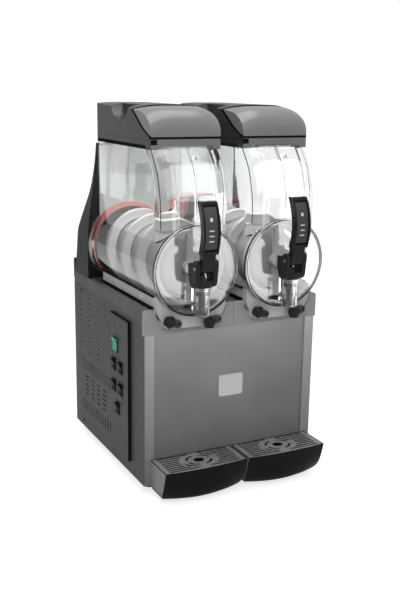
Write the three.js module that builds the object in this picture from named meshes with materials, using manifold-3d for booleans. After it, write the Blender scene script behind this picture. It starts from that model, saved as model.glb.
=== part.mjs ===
// Countertop slush machine with two bowls. Millimetres, +Z up, front towards -Y.
// The machine is drawn about its own middle plane (x = 0) with y = 0 on the front trim and z = 0 on the
// worktop, and the finished group is then shifted so that the origin is under the middle of its box.
import * as THREE from 'three';
import { mergeVertices } from 'three/addons/utils/BufferGeometryUtils.js';
import Module from 'manifold-3d';

const wasm = await Module();
wasm.setup();

// ---- driving dimensions ----
const ORIGIN_X = 5;
const ORIGIN_Y = -165;
const GAP = 0.3;
const SHEET = 1.5;
const BODY_HALF = 197;
const BODY_DEPTH = 415;
const FOOT_TOP = 20;
const POST_WIDTH = 22;
const PANEL_RECESS = 6;
const APRON_HALF = 200;
const APRON_BOTTOM = 337;
const APRON_THICKNESS = 4;
const SCALLOP_RADIUS = 88;
const SCALLOP_Z = 410;
const DECK_FLOOR = 368;
const DECK_TOP = 388;
const DECK_SHEET = 4;
const STATION_X = 99.2;
const AXIS_Z = 465.4;
const BOWL_RADIUS = 91.5;
const BOWL_FRONT = -30;
const BOWL_REAR = 314;
const BOWL_WALL = 3.5;
const COLLAR_RADIUS = 97;
const COLLAR_FRONT = 296;
const HOPPER_HALF = 74;
const HOPPER_TOP = 699.3;
const HOUSING_FRONT = 317;
const HOUSING_TOP = 688;
const LID_BOTTOM = 699.6;
const LID_TOP = 775;
const SPOUT_Y = -52;
const SPOUT_RADIUS = 16.5;
const SPOUT_BORE = 13;
const SPOUT_BOTTOM = 381;
const SPOUT_TOP = 446;
const DRUM_RADIUS = 62;
const SHAFT_RADIUS = 7.5;
const AUGER_RADIUS = 86;
const AUGER_INNER = 66;
const TRAY_TOP = 76;
const TRAY_HALF = 91.5;
const TRAY_X = 93.2;
const ROUND = 32;

// ---- materials ----
const finish = (color, roughness, metalness) =>
  new THREE.MeshStandardMaterial({ color, roughness, metalness, flatShading: true });
const blackPaint = () => finish(0x3c3c3e, 0.45, 0.2);
const trimPlastic = () => finish(0x8a8a8c, 0.4, 0.1);
const blackPlastic = () => finish(0x161617, 0.35, 0);
const glossBlack = () => finish(0x101012, 0.15, 0);
const steel = () => finish(0xb9bbbd, 0.25, 1);
const rubber = () => finish(0x18181a, 0.9, 0);
const greyMetal = () => finish(0x70757a, 0.5, 0.6);
const copper = () => finish(0xb07a55, 0.4, 0.9);
const clearPlastic = () => {
  const clear = finish(0xe8edf0, 0.05, 0);
  clear.transparent = true;
  clear.opacity = 0.35;
  return clear;
};

// ---- geometry helpers ----

// Welds a geometry into a closed indexed mesh of positions, drops collapsed triangles and faces it outwards.
function weld(geometry) {
  const bare = geometry.clone();
  bare.deleteAttribute('normal');
  bare.deleteAttribute('uv');
  const merged = mergeVertices(bare, 1e-3);
  const position = merged.getAttribute('position');
  const index = Array.from(merged.getIndex().array);
  const kept = [];
  let volume = 0;
  const [a, b, c] = [new THREE.Vector3(), new THREE.Vector3(), new THREE.Vector3()];
  for (let i = 0; i < index.length; i += 3) {
    const [p, q, r] = index.slice(i, i + 3);
    if (p === q || q === r || r === p) continue;
    kept.push(p, q, r);
    a.fromBufferAttribute(position, p);
    b.fromBufferAttribute(position, q);
    c.fromBufferAttribute(position, r);
    volume += a.dot(b.cross(c)) / 6;
  }
  if (volume < 0) {
    for (let i = 0; i < kept.length; i += 3) {
      [kept[i + 1], kept[i + 2]] = [kept[i + 2], kept[i + 1]];
    }
  }
  merged.setIndex(kept);
  return merged;
}

function solid(geometry) {
  const closed = weld(geometry);
  const vertProperties = new Float32Array(closed.getAttribute('position').array);
  const triVerts = new Uint32Array(closed.getIndex().array);
  return new wasm.Manifold(new wasm.Mesh({ numProp: 3, vertProperties, triVerts }));
}

function geometryOf(manifold) {
  const mesh = manifold.getMesh();
  const geometry = new THREE.BufferGeometry();
  geometry.setAttribute('position', new THREE.BufferAttribute(new Float32Array(mesh.vertProperties), 3));
  geometry.setIndex(Array.from(mesh.triVerts));
  return geometry;
}

const join = (...geometries) =>
  geometryOf(geometries.map(solid).reduce((whole, piece) => whole.add(piece)));
const cut = (geometry, ...tools) =>
  geometryOf(tools.map(solid).reduce((whole, tool) => whole.subtract(tool), solid(geometry)));
const common = (...geometries) =>
  geometryOf(geometries.map(solid).reduce((whole, piece) => whole.intersect(piece)));

// Extrudes an outline of [u, v] points by a depth along its normal, and cuts hole outlines through it.
function extrude(outline, depth, holes = []) {
  const slab = (points, thickness) => {
    const shape = new THREE.Shape(points.map(([u, v]) => new THREE.Vector2(u, v)));
    return new THREE.ExtrudeGeometry(shape, { depth: thickness, bevelEnabled: false });
  };
  const plate = slab(outline, depth);
  if (holes.length === 0) return plate;
  return cut(plate, ...holes.map((hole) => slab(hole, depth + 2).translate(0, 0, -1)));
}

const axisX = new THREE.Vector3(1, 0, 0);
const axisY = new THREE.Vector3(0, 1, 0);
const axisZ = new THREE.Vector3(0, 0, 1);

// Outline in (y, z), extruded along X.
function alongX(outline, x0, x1, holes = []) {
  const geometry = extrude(outline, x1 - x0, holes);
  geometry.applyMatrix4(new THREE.Matrix4().makeBasis(axisY, axisZ, axisX));
  return geometry.translate(x0, 0, 0);
}

// Outline in (x, z), extruded along Y.
function alongY(outline, y0, y1, holes = []) {
  const geometry = extrude(outline, y1 - y0, holes);
  geometry.applyMatrix4(new THREE.Matrix4().makeBasis(axisX, axisZ, axisY.clone().negate()));
  return geometry.translate(0, y1, 0);
}

// Outline in (x, y), extruded along Z.
function alongZ(outline, z0, z1, holes = []) {
  return extrude(outline, z1 - z0, holes).translate(0, 0, z0);
}

function box(x0, x1, y0, y1, z0, z1) {
  const geometry = new THREE.BoxGeometry(x1 - x0, y1 - y0, z1 - z0);
  return geometry.translate((x0 + x1) / 2, (y0 + y1) / 2, (z0 + z1) / 2);
}

function cylinderX(radius, y, z, x0, x1, sides = 24) {
  const geometry = new THREE.CylinderGeometry(radius, radius, x1 - x0, sides);
  return geometry.rotateZ(Math.PI / 2).translate((x0 + x1) / 2, y, z);
}

function cylinderY(radius, x, z, y0, y1, sides = ROUND) {
  const geometry = new THREE.CylinderGeometry(radius, radius, y1 - y0, sides);
  return geometry.translate(x, (y0 + y1) / 2, z);
}

function cylinderZ(radius, x, y, z0, z1, sides = 20) {
  const geometry = new THREE.CylinderGeometry(radius, radius, z1 - z0, sides);
  return geometry.rotateX(Math.PI / 2).translate(x, y, (z0 + z1) / 2);
}

// Turns a closed (radius, height) profile about the Y or Z axis.
function turnedY(profile, sides = ROUND) {
  return new THREE.LatheGeometry(profile.map(([r, h]) => new THREE.Vector2(r, h)), sides);
}
const turnedZ = (profile, sides = ROUND) => turnedY(profile, sides).rotateX(Math.PI / 2);

// Skins a stack of rings, each a list of the same number of points, and caps both ends.
// flatten gives the plane coordinates in which the first ring runs anticlockwise.
function loft(rings, flatten = ({ x, y }) => [x, y]) {
  const count = rings[0].length;
  const positions = rings.flat().flatMap((point) => [point.x, point.y, point.z]);
  const index = [];
  for (let ring = 0; ring + 1 < rings.length; ring += 1) {
    for (let i = 0; i < count; i += 1) {
      const [a, b] = [ring * count + i, ring * count + ((i + 1) % count)];
      index.push(a, b, b + count, a, b + count, a + count);
    }
  }
  const flat = rings[0].map((point) => new THREE.Vector2(...flatten(point)));
  const last = (rings.length - 1) * count;
  for (const [a, b, c] of THREE.ShapeUtils.triangulateShape(flat, [])) {
    index.push(c, b, a, last + a, last + b, last + c);
  }
  const geometry = new THREE.BufferGeometry();
  geometry.setAttribute('position', new THREE.Float32BufferAttribute(positions, 3));
  geometry.setIndex(index);
  return geometry;
}

// A level ring at height z: a rectangle between y0 (front) and y1 (back) with rounded corners.
function roundedRing(half, y0, y1, z, frontRadius, backRadius, steps = 4) {
  const corners = [
    [half - frontRadius, y0 + frontRadius, frontRadius, -90],
    [half - backRadius, y1 - backRadius, backRadius, 0],
    [-half + backRadius, y1 - backRadius, backRadius, 90],
    [-half + frontRadius, y0 + frontRadius, frontRadius, 180],
  ];
  const points = [];
  for (const [x, y, radius, start] of corners) {
    for (let i = 0; i <= steps; i += 1) {
      const angle = THREE.MathUtils.degToRad(start + (90 * i) / steps);
      points.push(new THREE.Vector3(x + radius * Math.cos(angle), y + radius * Math.sin(angle), z));
    }
  }
  return points;
}

// Extrudes a level ring straight up between two heights.
const prism = (ring, z0, z1) => alongZ(ring.map(({ x, y }) => [x, y]), z0, z1);

const rectangle = (u0, u1, v0, v1) => [[u0, v0], [u1, v0], [u1, v1], [u0, v1]];

function arc(cx, cy, radius, startDegrees, endDegrees, steps) {
  const points = [];
  for (let i = 0; i <= steps; i += 1) {
    const angle = THREE.MathUtils.degToRad(startDegrees + ((endDegrees - startDegrees) * i) / steps);
    points.push([cx + radius * Math.cos(angle), cy + radius * Math.sin(angle)]);
  }
  return points;
}

const machine = new THREE.Group();
machine.position.set(ORIGIN_X, ORIGIN_Y, 0);

function part(name, geometry, material, parent = machine) {
  const mesh = new THREE.Mesh(weld(geometry), material);
  mesh.name = name;
  parent.add(mesh);
}

// ---- cabinet ----

// Vent openings of a side panel, as outlines in (y, z).
function ventHoles() {
  const holes = [];
  for (const z0 of [65, 166]) {
    for (let column = 0; column < 13; column += 1) {
      const y = 190 + column * 14.6;
      holes.push(rectangle(y - 2, y + 2, z0, z0 + 27));
    }
  }
  for (let column = 0; column < 4; column += 1) {
    for (let row = 0; row < 5; row += 1) {
      const [y, z] = [212 + column * 37, 109 + row * 10.6];
      holes.push(rectangle(y, y + 24, z - 1.6, z + 1.6));
    }
  }
  for (let column = 0; column < 3; column += 1) {
    for (let row = 0; row < 11; row += 1) {
      const [y, z] = [261 + column * 57, 213.5 + row * 12.85];
      holes.push(rectangle(y - 5, y + 5, z - 1.7, z + 1.7));
    }
  }
  return holes;
}

// A side panel with its front post: a sheet bent round the front corner and back in again.
function sidePanel(side) {
  const top = DECK_FLOOR - DECK_SHEET - GAP;
  const postTop = APRON_BOTTOM - GAP;
  const outline = [
    [0.5, FOOT_TOP], [BODY_DEPTH, FOOT_TOP], [BODY_DEPTH, top],
    [APRON_THICKNESS + GAP, top], [APRON_THICKNESS + GAP, postTop], [0.5, postTop],
  ];
  const sheet = alongX(outline, -BODY_HALF, -BODY_HALF + SHEET, ventHoles());
  const inner = -BODY_HALF + POST_WIDTH;
  const post = [
    [-BODY_HALF, 0], [inner, 0], [inner, PANEL_RECESS - GAP], [inner - SHEET, PANEL_RECESS - GAP],
    [inner - SHEET, SHEET], [-BODY_HALF + SHEET, SHEET], [-BODY_HALF + SHEET, 8], [-BODY_HALF, 8],
  ];
  const bent = join(sheet, alongZ(post, FOOT_TOP, postTop));
  return side < 0 ? bent : bent.scale(-1, 1, 1);
}

function basePan() {
  const half = BODY_HALF - SHEET - GAP;
  const [front, back] = [PANEL_RECESS + SHEET + GAP, BODY_DEPTH - SHEET - 2 * GAP];
  const pan = box(-half, half, front, back, FOOT_TOP, FOOT_TOP + 16);
  const hollow = box(-half + SHEET, half - SHEET, front + SHEET, back - SHEET, FOOT_TOP + 2, FOOT_TOP + 17);
  return cut(pan, hollow);
}

function frontPanel() {
  const half = BODY_HALF - SHEET - GAP;
  return box(-half, half, PANEL_RECESS, PANEL_RECESS + SHEET, FOOT_TOP, DECK_FLOOR - DECK_SHEET - GAP);
}

const INLET = { x: 120, z: 70, halfWidth: 24, halfHeight: 14 };

function backPanel() {
  const half = BODY_HALF - SHEET - GAP;
  const holes = [rectangle(INLET.x - INLET.halfWidth, INLET.x + INLET.halfWidth,
    INLET.z - INLET.halfHeight, INLET.z + INLET.halfHeight)];
  for (let row = 0; row < 8; row += 1) {
    for (const x of [-150, -60]) {
      const z = 120 + row * 24;
      holes.push(rectangle(x, x + 70, z, z + 9));
    }
  }
  const outline = rectangle(-half, half, FOOT_TOP, DECK_FLOOR - DECK_SHEET - GAP);
  return alongY(outline, BODY_DEPTH - SHEET, BODY_DEPTH, holes);
}

// Deck with two troughs between three rails, and a level shelf for the rear housing.
function topDeck() {
  const half = BODY_HALF;
  const under = DECK_FLOOR - DECK_SHEET;
  const outline = [
    [-half, under], [half, under], [half, DECK_TOP], [half - 12, DECK_TOP], [half - 12, DECK_FLOOR],
    [10, DECK_FLOOR], [10, DECK_TOP], [-10, DECK_TOP], [-10, DECK_FLOOR],
    [-half + 12, DECK_FLOOR], [-half + 12, DECK_TOP], [-half, DECK_TOP],
  ];
  const front = APRON_THICKNESS + GAP;
  const troughs = alongY(outline, front, HOUSING_FRONT);
  const shelf = box(-half, half, HOUSING_FRONT - 1, BODY_DEPTH, under, DECK_TOP);
  const hollow = box(-half + DECK_SHEET, half - DECK_SHEET, HOUSING_FRONT + DECK_SHEET,
    BODY_DEPTH - DECK_SHEET, under - 1, DECK_TOP - DECK_SHEET);
  return cut(join(troughs, shelf), hollow);
}

// Half of the front trim, with a stepped scallop round the foot of its bowl.
function apron(side) {
  const outline = rectangle(-APRON_HALF, -GAP / 2, APRON_BOTTOM, DECK_TOP);
  const plate = alongY(outline, 0, APRON_THICKNESS);
  const scallop = (radius, y1) => common(
    cylinderY(radius, -STATION_X, SCALLOP_Z, -1, y1, 48),
    box(-APRON_HALF, 0, -1, y1, APRON_BOTTOM + 8, DECK_TOP + 40));
  const trimmed = cut(plate,
    scallop(SCALLOP_RADIUS, 1), scallop(SCALLOP_RADIUS - 3.5, 2.2), scallop(SCALLOP_RADIUS - 7, 9));
  return side < 0 ? trimmed : trimmed.scale(-1, 1, 1);
}

// Tower behind the bowls: wide at the deck and tapering to the hoppers' width, hollow and open below, with
// a lip that hangs over the back panel.
const HOUSING_SLICES = [
  [388.3, 197, 414], [426, 197, 400], [486, 196, 390], [511, 194, 378],
  [545, 190, 358], [588, 183, 338], [640, 177, 328], [HOUSING_TOP, 174, 323],
];

function rearHousing() {
  const slice = ([z, half, back]) => roundedRing(half, HOUSING_FRONT, back, z, 1, 3, 2);
  const outer = loft(HOUSING_SLICES.map(slice));
  const inset = 3;
  const innerSlice = ([z, half, back]) =>
    roundedRing(half - inset, HOUSING_FRONT + inset, back - inset, z, 1, 1, 1);
  const inner = loft([[387, 197, 414], ...HOUSING_SLICES.slice(1, 6)].map(innerSlice));
  const seats = [];
  const bores = [];
  for (const x of [-STATION_X, STATION_X]) {
    seats.push(cylinderY(84, x, AXIS_Z, COLLAR_FRONT + 2, HOUSING_FRONT + 1));
    bores.push(cylinderY(SHAFT_RADIUS + 1.5, x, AXIS_Z, COLLAR_FRONT, HOUSING_FRONT + 10, 20));
  }
  const lip = box(-BODY_HALF + 1, BODY_HALF - 1, 408, 422, 371, 418);
  const deckRoom = box(-BODY_HALF, BODY_HALF, HOUSING_FRONT - 1 - GAP, BODY_DEPTH + GAP, 300, DECK_TOP + GAP);
  return cut(join(cut(join(outer, lip), inner), ...seats), deckRoom, ...bores);
}

// Pale panel on the tower's front that lights the hoppers from behind, cut away round the drums' seats.
function lightPanel() {
  const panel = box(-168, 168, 315, HOUSING_FRONT - GAP, 480, 684);
  const clearances = [-STATION_X, STATION_X].map((x) => cylinderY(85, x, AXIS_Z, 310, 320, 48));
  return cut(panel, ...clearances);
}

function badgePlate() {
  const z = 212;
  const outline = [
    ...arc(22, z + 14, 6, 0, 90, 3), ...arc(-22, z + 14, 6, 90, 180, 3),
    ...arc(-22, z - 20, 6, 180, 270, 3), ...arc(22, z - 20, 6, 270, 360, 3),
  ];
  return alongY(outline, PANEL_RECESS - GAP - 2, PANEL_RECESS - GAP);
}

function foot(x, y) {
  const profile = [[0, 0], [15, 0], [17, 3], [18, FOOT_TOP - GAP], [0, FOOT_TOP - GAP]];
  return turnedZ(profile, 16).translate(x, y, 0);
}

// ---- control side ----

const CONTROL_OUT = 6;
const SWITCHES = [
  { name: 'power_rocker', y: 137, z: 286, halfWidth: 10, halfHeight: 14 },
  { name: 'mode_rocker_left', y: 147, z: 241, halfWidth: 8, halfHeight: 12 },
  { name: 'mode_rocker_right', y: 110, z: 241, halfWidth: 8, halfHeight: 12 },
  { name: 'mixer_rocker_left', y: 147, z: 194, halfWidth: 8, halfHeight: 12 },
  { name: 'mixer_rocker_right', y: 110, z: 194, halfWidth: 8, halfHeight: 12 },
  { name: 'light_rocker', y: 127, z: 148, halfWidth: 8, halfHeight: 12 },
];

function controlPlate() {
  const back = -BODY_HALF - GAP;
  const face = back - CONTROL_OUT;
  const openings = SWITCHES.map(({ y, z, halfWidth, halfHeight }) =>
    rectangle(y - halfWidth - 0.6, y + halfWidth + 0.6, z - halfHeight - 0.9, z + halfHeight + 0.9));
  const plate = alongX(rectangle(69, 170, 48, 349), face, back, openings);
  const bezels = SWITCHES.map(({ y, z, halfWidth, halfHeight }) => alongX(
    rectangle(y - halfWidth - 3, y + halfWidth + 3, z - halfHeight - 3.5, z + halfHeight + 3.5),
    face - 1.5, face + 1,
    [rectangle(y - halfWidth - 0.6, y + halfWidth + 0.6, z - halfHeight - 0.9, z + halfHeight + 0.9)]));
  return join(plate, ...bezels);
}

// A rocker with a dished face, tipped to its off position about its own pivot.
const ROCKER_TILT = 8;
function rocker({ y, z, halfWidth, halfHeight }) {
  const tip = halfHeight - 0.6;
  const outline = [
    [-3, -halfHeight + 4], [-3, halfHeight - 4], [1.5, tip], [5, tip - 0.6], [2.6, 0],
    [5, -tip + 0.6], [1.5, -tip],
  ];
  const geometry = alongY(outline.map(([out, up]) => [-out, up]), -halfWidth, halfWidth);
  geometry.rotateY(THREE.MathUtils.degToRad(-ROCKER_TILT));
  return geometry.translate(-BODY_HALF - GAP - CONTROL_OUT, y, z);
}

// ---- machinery in the cabinet ----

function compressor() {
  const profile = [[0, 42], [62, 42], [68, 50], [68, 120], [60, 145], [40, 160], [0, 164]];
  const base = box(-80, 80, -50, 50, 36.6, 43);
  return join(turnedZ(profile, 20), base).translate(-85, 300, 0);
}

function condenser() {
  const [front, back] = [70, 110];
  const core = box(-150, 120, front, back, 60, 300);
  const grooves = [];
  for (let row = 0; row < 9; row += 1) {
    grooves.push(box(-145, 115, front - 1, front + 12, 72 + row * 25, 84 + row * 25));
  }
  const feet = box(-150, 120, front + 10, back - 10, 36.5, 61);
  return join(cut(core, ...grooves), feet);
}

const FAN = { x: -15, z: 175, radius: 78 };

function fanMotor() {
  const motor = cylinderY(26, FAN.x, FAN.z, 141, 180, 18);
  const spindle = cylinderY(4, FAN.x, FAN.z, 121, 142, 10);
  const bracket = box(FAN.x - 8, FAN.x + 8, 150, 170, 36.5, FAN.z);
  return join(motor, spindle, bracket);
}

// Hub with pitched blades on the fan motor's spindle.
function fanBlade() {
  const hub = cut(cylinderY(16, 0, 0, -6, 6, 16), cylinderY(4.6, 0, 0, -7, 7, 10));
  const blades = [];
  for (let i = 0; i < 5; i += 1) {
    const blade = box(-16, 16, -1, 1, 14, FAN.radius);
    blade.rotateZ(THREE.MathUtils.degToRad(24));
    blade.rotateY((i / 5) * 2 * Math.PI);
    blades.push(blade);
  }
  return join(hub, ...blades).translate(FAN.x, 126, FAN.z);
}

const controlBox = () => box(-BODY_HALF + 12, -BODY_HALF + 40, 62, 68, 60, 345);
const switchBox = () => join(controlBox(), box(-BODY_HALF + 12, -BODY_HALF + 30, 68, 176, 130, 320));

// Mains inlet: a flanged socket with a recess for the plug of a lead.
function powerInlet() {
  const { x, z, halfWidth, halfHeight } = INLET;
  const block = (margin, y0, y1) => {
    const [reachX, reachZ] = [halfWidth + margin, halfHeight + margin];
    return box(x - reachX, x + reachX, y0, y1, z - reachZ, z + reachZ);
  };
  const flange = block(5, BODY_DEPTH + GAP, BODY_DEPTH + 2.5);
  const sleeve = block(-1, BODY_DEPTH - 22, BODY_DEPTH + 1);
  const recess = block(-5, BODY_DEPTH - 16, BODY_DEPTH + 3);
  return cut(join(flange, sleeve), recess);
}

// ---- one bowl station, drawn about its own middle plane ----

// Level slices of the hopper: height and the front wall's y.
const HOPPER_SLICES = [
  [470, -29.5], [590, -29], [622, -22], [659, -8], [HOPPER_TOP, 23],
];

function hopper(inset, first, rise) {
  const slices = HOPPER_SLICES.map(([z, front]) => [z, Math.max(front + inset, first)]);
  slices.at(-1)[0] += rise;
  return loft(slices.map(([z, front]) =>
    roundedRing(HOPPER_HALF - inset, front, BOWL_REAR - inset, z, 28 - inset, 8 - inset, 3)));
}

// Outline of the bowl foot's front in (x, z): straight sides and an arc that follows the apron's scallop.
function footOutline(half, radius, lowest) {
  const turn = THREE.MathUtils.radToDeg(Math.acos(half / radius));
  const dip = arc(0, SCALLOP_Z, radius, 180 + turn, 360 - turn, 16);
  const block = alongY([[-half, AXIS_Z], ...dip, [half, AXIS_Z]], -10, APRON_THICKNESS);
  return common(block, box(-half, half, -20, 20, lowest, AXIS_Z));
}

// Foot of the bowl: walls standing in the deck trough and a cupped front dipping into the apron's scallop.
function bowlFoot() {
  const [half, wall, front, back] = [75, 3, APRON_THICKNESS + GAP, 285];
  const cup = cut(footOutline(half, 78, APRON_BOTTOM + 11),
    footOutline(half - wall, 78 - wall, APRON_BOTTOM + 11 + wall).translate(0, 3.5, 0));
  const walls = cut(
    box(-half, half, front, back, DECK_FLOOR + GAP, AXIS_Z),
    box(-half + wall, half - wall, front - 1, back - wall, DECK_FLOOR - 1, AXIS_Z + 1));
  return join(cup, walls);
}

function bowl() {
  const shell = join(
    cylinderY(BOWL_RADIUS, 0, AXIS_Z, BOWL_FRONT, BOWL_REAR, 32),
    cylinderY(COLLAR_RADIUS, 0, AXIS_Z, COLLAR_FRONT, BOWL_REAR, 32),
    hopper(0, BOWL_FRONT, 0),
    bowlFoot());
  const discFront = BOWL_FRONT + 4;
  const discBack = discFront + BOWL_WALL;
  const hollow = cut(shell,
    cylinderY(BOWL_RADIUS - 5.5, 0, AXIS_Z, BOWL_FRONT - 2, discFront, 32),
    hopper(BOWL_WALL, discBack, 2),
    cylinderY(BOWL_RADIUS - BOWL_WALL, 0, AXIS_Z, discBack, COLLAR_FRONT + 1, 32),
    cylinderY(92.8, 0, AXIS_Z, COLLAR_FRONT, BOWL_REAR + 1, 32));
  const disc = cylinderY(BOWL_RADIUS - 3, 0, AXIS_Z, discFront, discBack, 32);
  const spout = cylinderZ(SPOUT_RADIUS, 0, SPOUT_Y, SPOUT_BOTTOM, SPOUT_TOP);
  const neck = box(-9, 9, SPOUT_Y + 10, discFront + 1, 386, SPOUT_TOP - 6);
  return cut(join(hollow, disc, spout, neck),
    cylinderZ(SPOUT_BORE, 0, SPOUT_Y, SPOUT_BOTTOM - 1, SPOUT_TOP + 1),
    cylinderY(6, 0, 398, SPOUT_Y, discBack + 1, 12));
}

// Lid: a shell over the hopper with a finger scoop in each side. Its base band follows the hopper's round
// corners, and the visor above it has tighter ones and falls away towards the sides.
const LID_BACK = 316;
const LID_MIDDLE = [
  [23, LID_BOTTOM], [22, 713], [22.4, 728], [24, 739], [29, 751], [38, 761], [54, 769], [90, LID_TOP],
];
const LID_SIDE = [
  [23, LID_BOTTOM], [22, 713], [23, 725], [27, 735], [34, 744], [46, 752], [66, 760], [107, 765],
];
const LID_SIDE_BACK = 772;

// The lid's closed outline at x, drawn in by a wall thickness.
function lidSection(x, inset) {
  const fall = Math.abs(x / HOPPER_HALF) ** 4;
  const mix = (middle, side) => middle + (side - middle) * fall;
  const front = LID_MIDDLE.map(([y, z], i) => {
    const drop = i === 0 ? -inset : inset;
    return new THREE.Vector3(x, mix(y, LID_SIDE[i][0]) + inset, mix(z, LID_SIDE[i][1]) - drop);
  });
  const back = LID_BACK - inset;
  return [
    ...front, new THREE.Vector3(x, back, mix(LID_TOP, LID_SIDE_BACK) - inset),
    new THREE.Vector3(x, back, LID_BOTTOM + inset),
  ];
}

function lidBody(inset) {
  const half = HOPPER_HALF - inset;
  const sections = [];
  for (let step = 0; step <= 14; step += 1) {
    sections.push(lidSection(-half * Math.cos((step / 14) * Math.PI), inset));
  }
  const ring = roundedRing(half, 20 + inset, LID_BACK - inset, 0, 5 - inset, 6 - inset, 4);
  return common(loft(sections, ({ y, z }) => [z, y]), prism(ring, LID_BOTTOM - 1, LID_TOP + 1));
}

function lid() {
  const scoop = [[133, LID_TOP + 2], [139, 764], [152, 750], [170, 743], [192, 742], [212, 750], [226, 764],
    [233, LID_TOP + 2]];
  const scoops = [
    alongX(scoop, -HOPPER_HALF - 2, -HOPPER_HALF + 27),
    alongX(scoop, HOPPER_HALF - 27, HOPPER_HALF + 2),
  ];
  const wall = 3;
  const pockets = [-1, 1].map((side) => box(
    Math.min(side * (HOPPER_HALF - 30), side * (HOPPER_HALF + 1)),
    Math.max(side * (HOPPER_HALF - 30), side * (HOPPER_HALF + 1)), 129, 237, 738, LID_TOP + 2));
  const mouth = box(-HOPPER_HALF + 4, HOPPER_HALF - 4, 30, 312, LID_BOTTOM - 1, 706);
  const cavity = cut(join(lidBody(wall), mouth), ...pockets);
  const shell = cut(lidBody(0), ...scoops, cavity);
  const innerPlan = roundedRing(HOPPER_HALF - 7.4, 33, 306, 0, 19, 2, 3);
  const outerPlan = roundedRing(HOPPER_HALF - 4.4, 30, 309, 0, 22, 4, 3);
  const lip = cut(prism(outerPlan, 692, 705), prism(innerPlan, 691, 707));
  const ledge = cut(box(-HOPPER_HALF + 2, HOPPER_HALF - 2, 28, 314, 702, 705), prism(innerPlan, 701, 707));
  return join(shell, lip, ledge);
}

// Evaporator: a domed steel drum, open towards the housing, with a tube through it for the shaft.
function evaporator() {
  const [front, back] = [18, COLLAR_FRONT + 2 - GAP];
  const tube = SHAFT_RADIUS + 1.5;
  const profile = [
    [tube, back], [tube, front - 5], [30, front - 4], [52, front], [DRUM_RADIUS, front + 12],
    [DRUM_RADIUS, back], [DRUM_RADIUS - 2, back], [DRUM_RADIUS - 2, front + 13],
    [50, front + 3], [tube + 2, front], [tube + 2, back], [tube, back],
  ];
  return turnedY(profile, 24).translate(0, 0, AXIS_Z);
}

// Auger: a helical blade round the drum, joined at the front to a hub by two arms.
function auger() {
  const [start, end, turns, steps] = [6, 284, 3.5, 16];
  const rings = [];
  const count = turns * steps;
  for (let i = 0; i <= count; i += 1) {
    const angle = (i / steps) * 2 * Math.PI;
    const y = start + ((end - start) * i) / count;
    const at = (radius, offset) =>
      new THREE.Vector3(radius * Math.sin(angle), y + offset, radius * Math.cos(angle));
    rings.push([at(AUGER_INNER, -4), at(AUGER_RADIUS, -6), at(AUGER_RADIUS, 6), at(AUGER_INNER, 4)]);
  }
  const hub = cylinderY(15, 0, 0, -4, 11, 16);
  const bore = cylinderY(SHAFT_RADIUS + GAP, 0, 0, -1, 12, 16);
  const arms = [box(-8, 8, 1, 11, 8, 70), box(-8, 8, 1, 11, -70, -8)];
  const frontRing = turnedY([
    [AUGER_INNER, 1], [AUGER_INNER + 8, 1], [AUGER_INNER + 8, 11], [AUGER_INNER, 11], [AUGER_INNER, 1],
  ], 16);
  const blade = loft(rings, ({ y, z }) => [z, y]);
  return cut(join(blade, frontRing, hub, ...arms), bore).translate(0, 0, AXIS_Z);
}

const driveShaft = () => cylinderY(SHAFT_RADIUS, 0, AXIS_Z, -0.5, 326, 16);

function gasket() {
  const [front, back] = [COLLAR_FRONT + 3, BOWL_REAR - 1];
  const profile = [
    [84.3, front], [92.5, front], [92.5, back], [84.3, back], [84.3, front],
  ];
  return turnedY(profile).translate(0, 0, AXIS_Z);
}

function gearmotor() {
  const gearbox = box(-36, 36, 330, 352, AXIS_Z - 42, AXIS_Z + 36);
  const motor = cylinderY(28, 0, AXIS_Z - 8, 351, 383, 18);
  const bore = cylinderY(SHAFT_RADIUS + GAP, 0, AXIS_Z, 329, 340, 16);
  return cut(join(gearbox, motor), bore);
}

// ---- tap ----

const TAP_PIVOT = { y: -66, z: 477 };

// Tap body: a collar on top of the spout with two cheeks for the handle's pin.
function tapBody() {
  const cheekProfile = [
    ...arc(-57, 452, 14, 180, 320, 5), [-38, 462], [-38, 484], ...arc(-66, 484, 9, 20, 180, 4),
  ];
  const cheeks = [
    alongX(cheekProfile, -23.5, -14.5),
    alongX(cheekProfile, 14.5, 23.5),
  ];
  const bridge = box(-20, 20, -70, -36, SPOUT_TOP + GAP, 452);
  const collar = cylinderZ(21, 0, SPOUT_Y, 438, 452, 16);
  const socket = cylinderZ(SPOUT_RADIUS + 2 * GAP, 0, SPOUT_Y, 430, SPOUT_TOP + GAP, 16);
  const rodHole = cylinderZ(5.2, 0, SPOUT_Y, 440, 460, 12);
  const pinHole = cylinderX(3.3, TAP_PIVOT.y, TAP_PIVOT.z, -30, 30, 12);
  const relief = box(-30, 30, -38, -20, 430, 500);
  return cut(join(...cheeks, bridge, collar), socket, rodHole, pinHole, relief);
}

// Handle: a bowed paddle with a recessed front, a tongue round the pin and two prongs for the piston's head.
function tapHandle() {
  const frontLine = [[-84, 505], [-91, 530], [-92, 553], [-86, 580], [-74, 604]];
  const backLine = [[-60, 604], [-71, 580], [-77, 553], [-76, 530], [-68, 505]];
  const paddle = alongX([...frontLine, ...backLine], -18, 18);
  const recessLine = [[-100, 514], [-90, 530], [-89.5, 553], [-84, 578], [-74, 596], [-100, 600]];
  const recess = alongX(recessLine, -14, 14);
  const tongue = alongX([
    ...arc(TAP_PIVOT.y, TAP_PIVOT.z, 9, 180, 360, 6), [-63.5, 484], [-66, 507], [-84, 507], [-80, 494],
  ], -13.5, 13.5);
  const prongs = [-1, 1].map((side) => box(
    Math.min(side * 6.5, side * 13.5), Math.max(side * 6.5, side * 13.5), TAP_PIVOT.y, -45, 476, 483));
  const pinHole = cylinderX(3.3, TAP_PIVOT.y, TAP_PIVOT.z, -30, 30, 12);
  return cut(join(cut(paddle, recess), tongue, ...prongs), pinHole);
}

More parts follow.
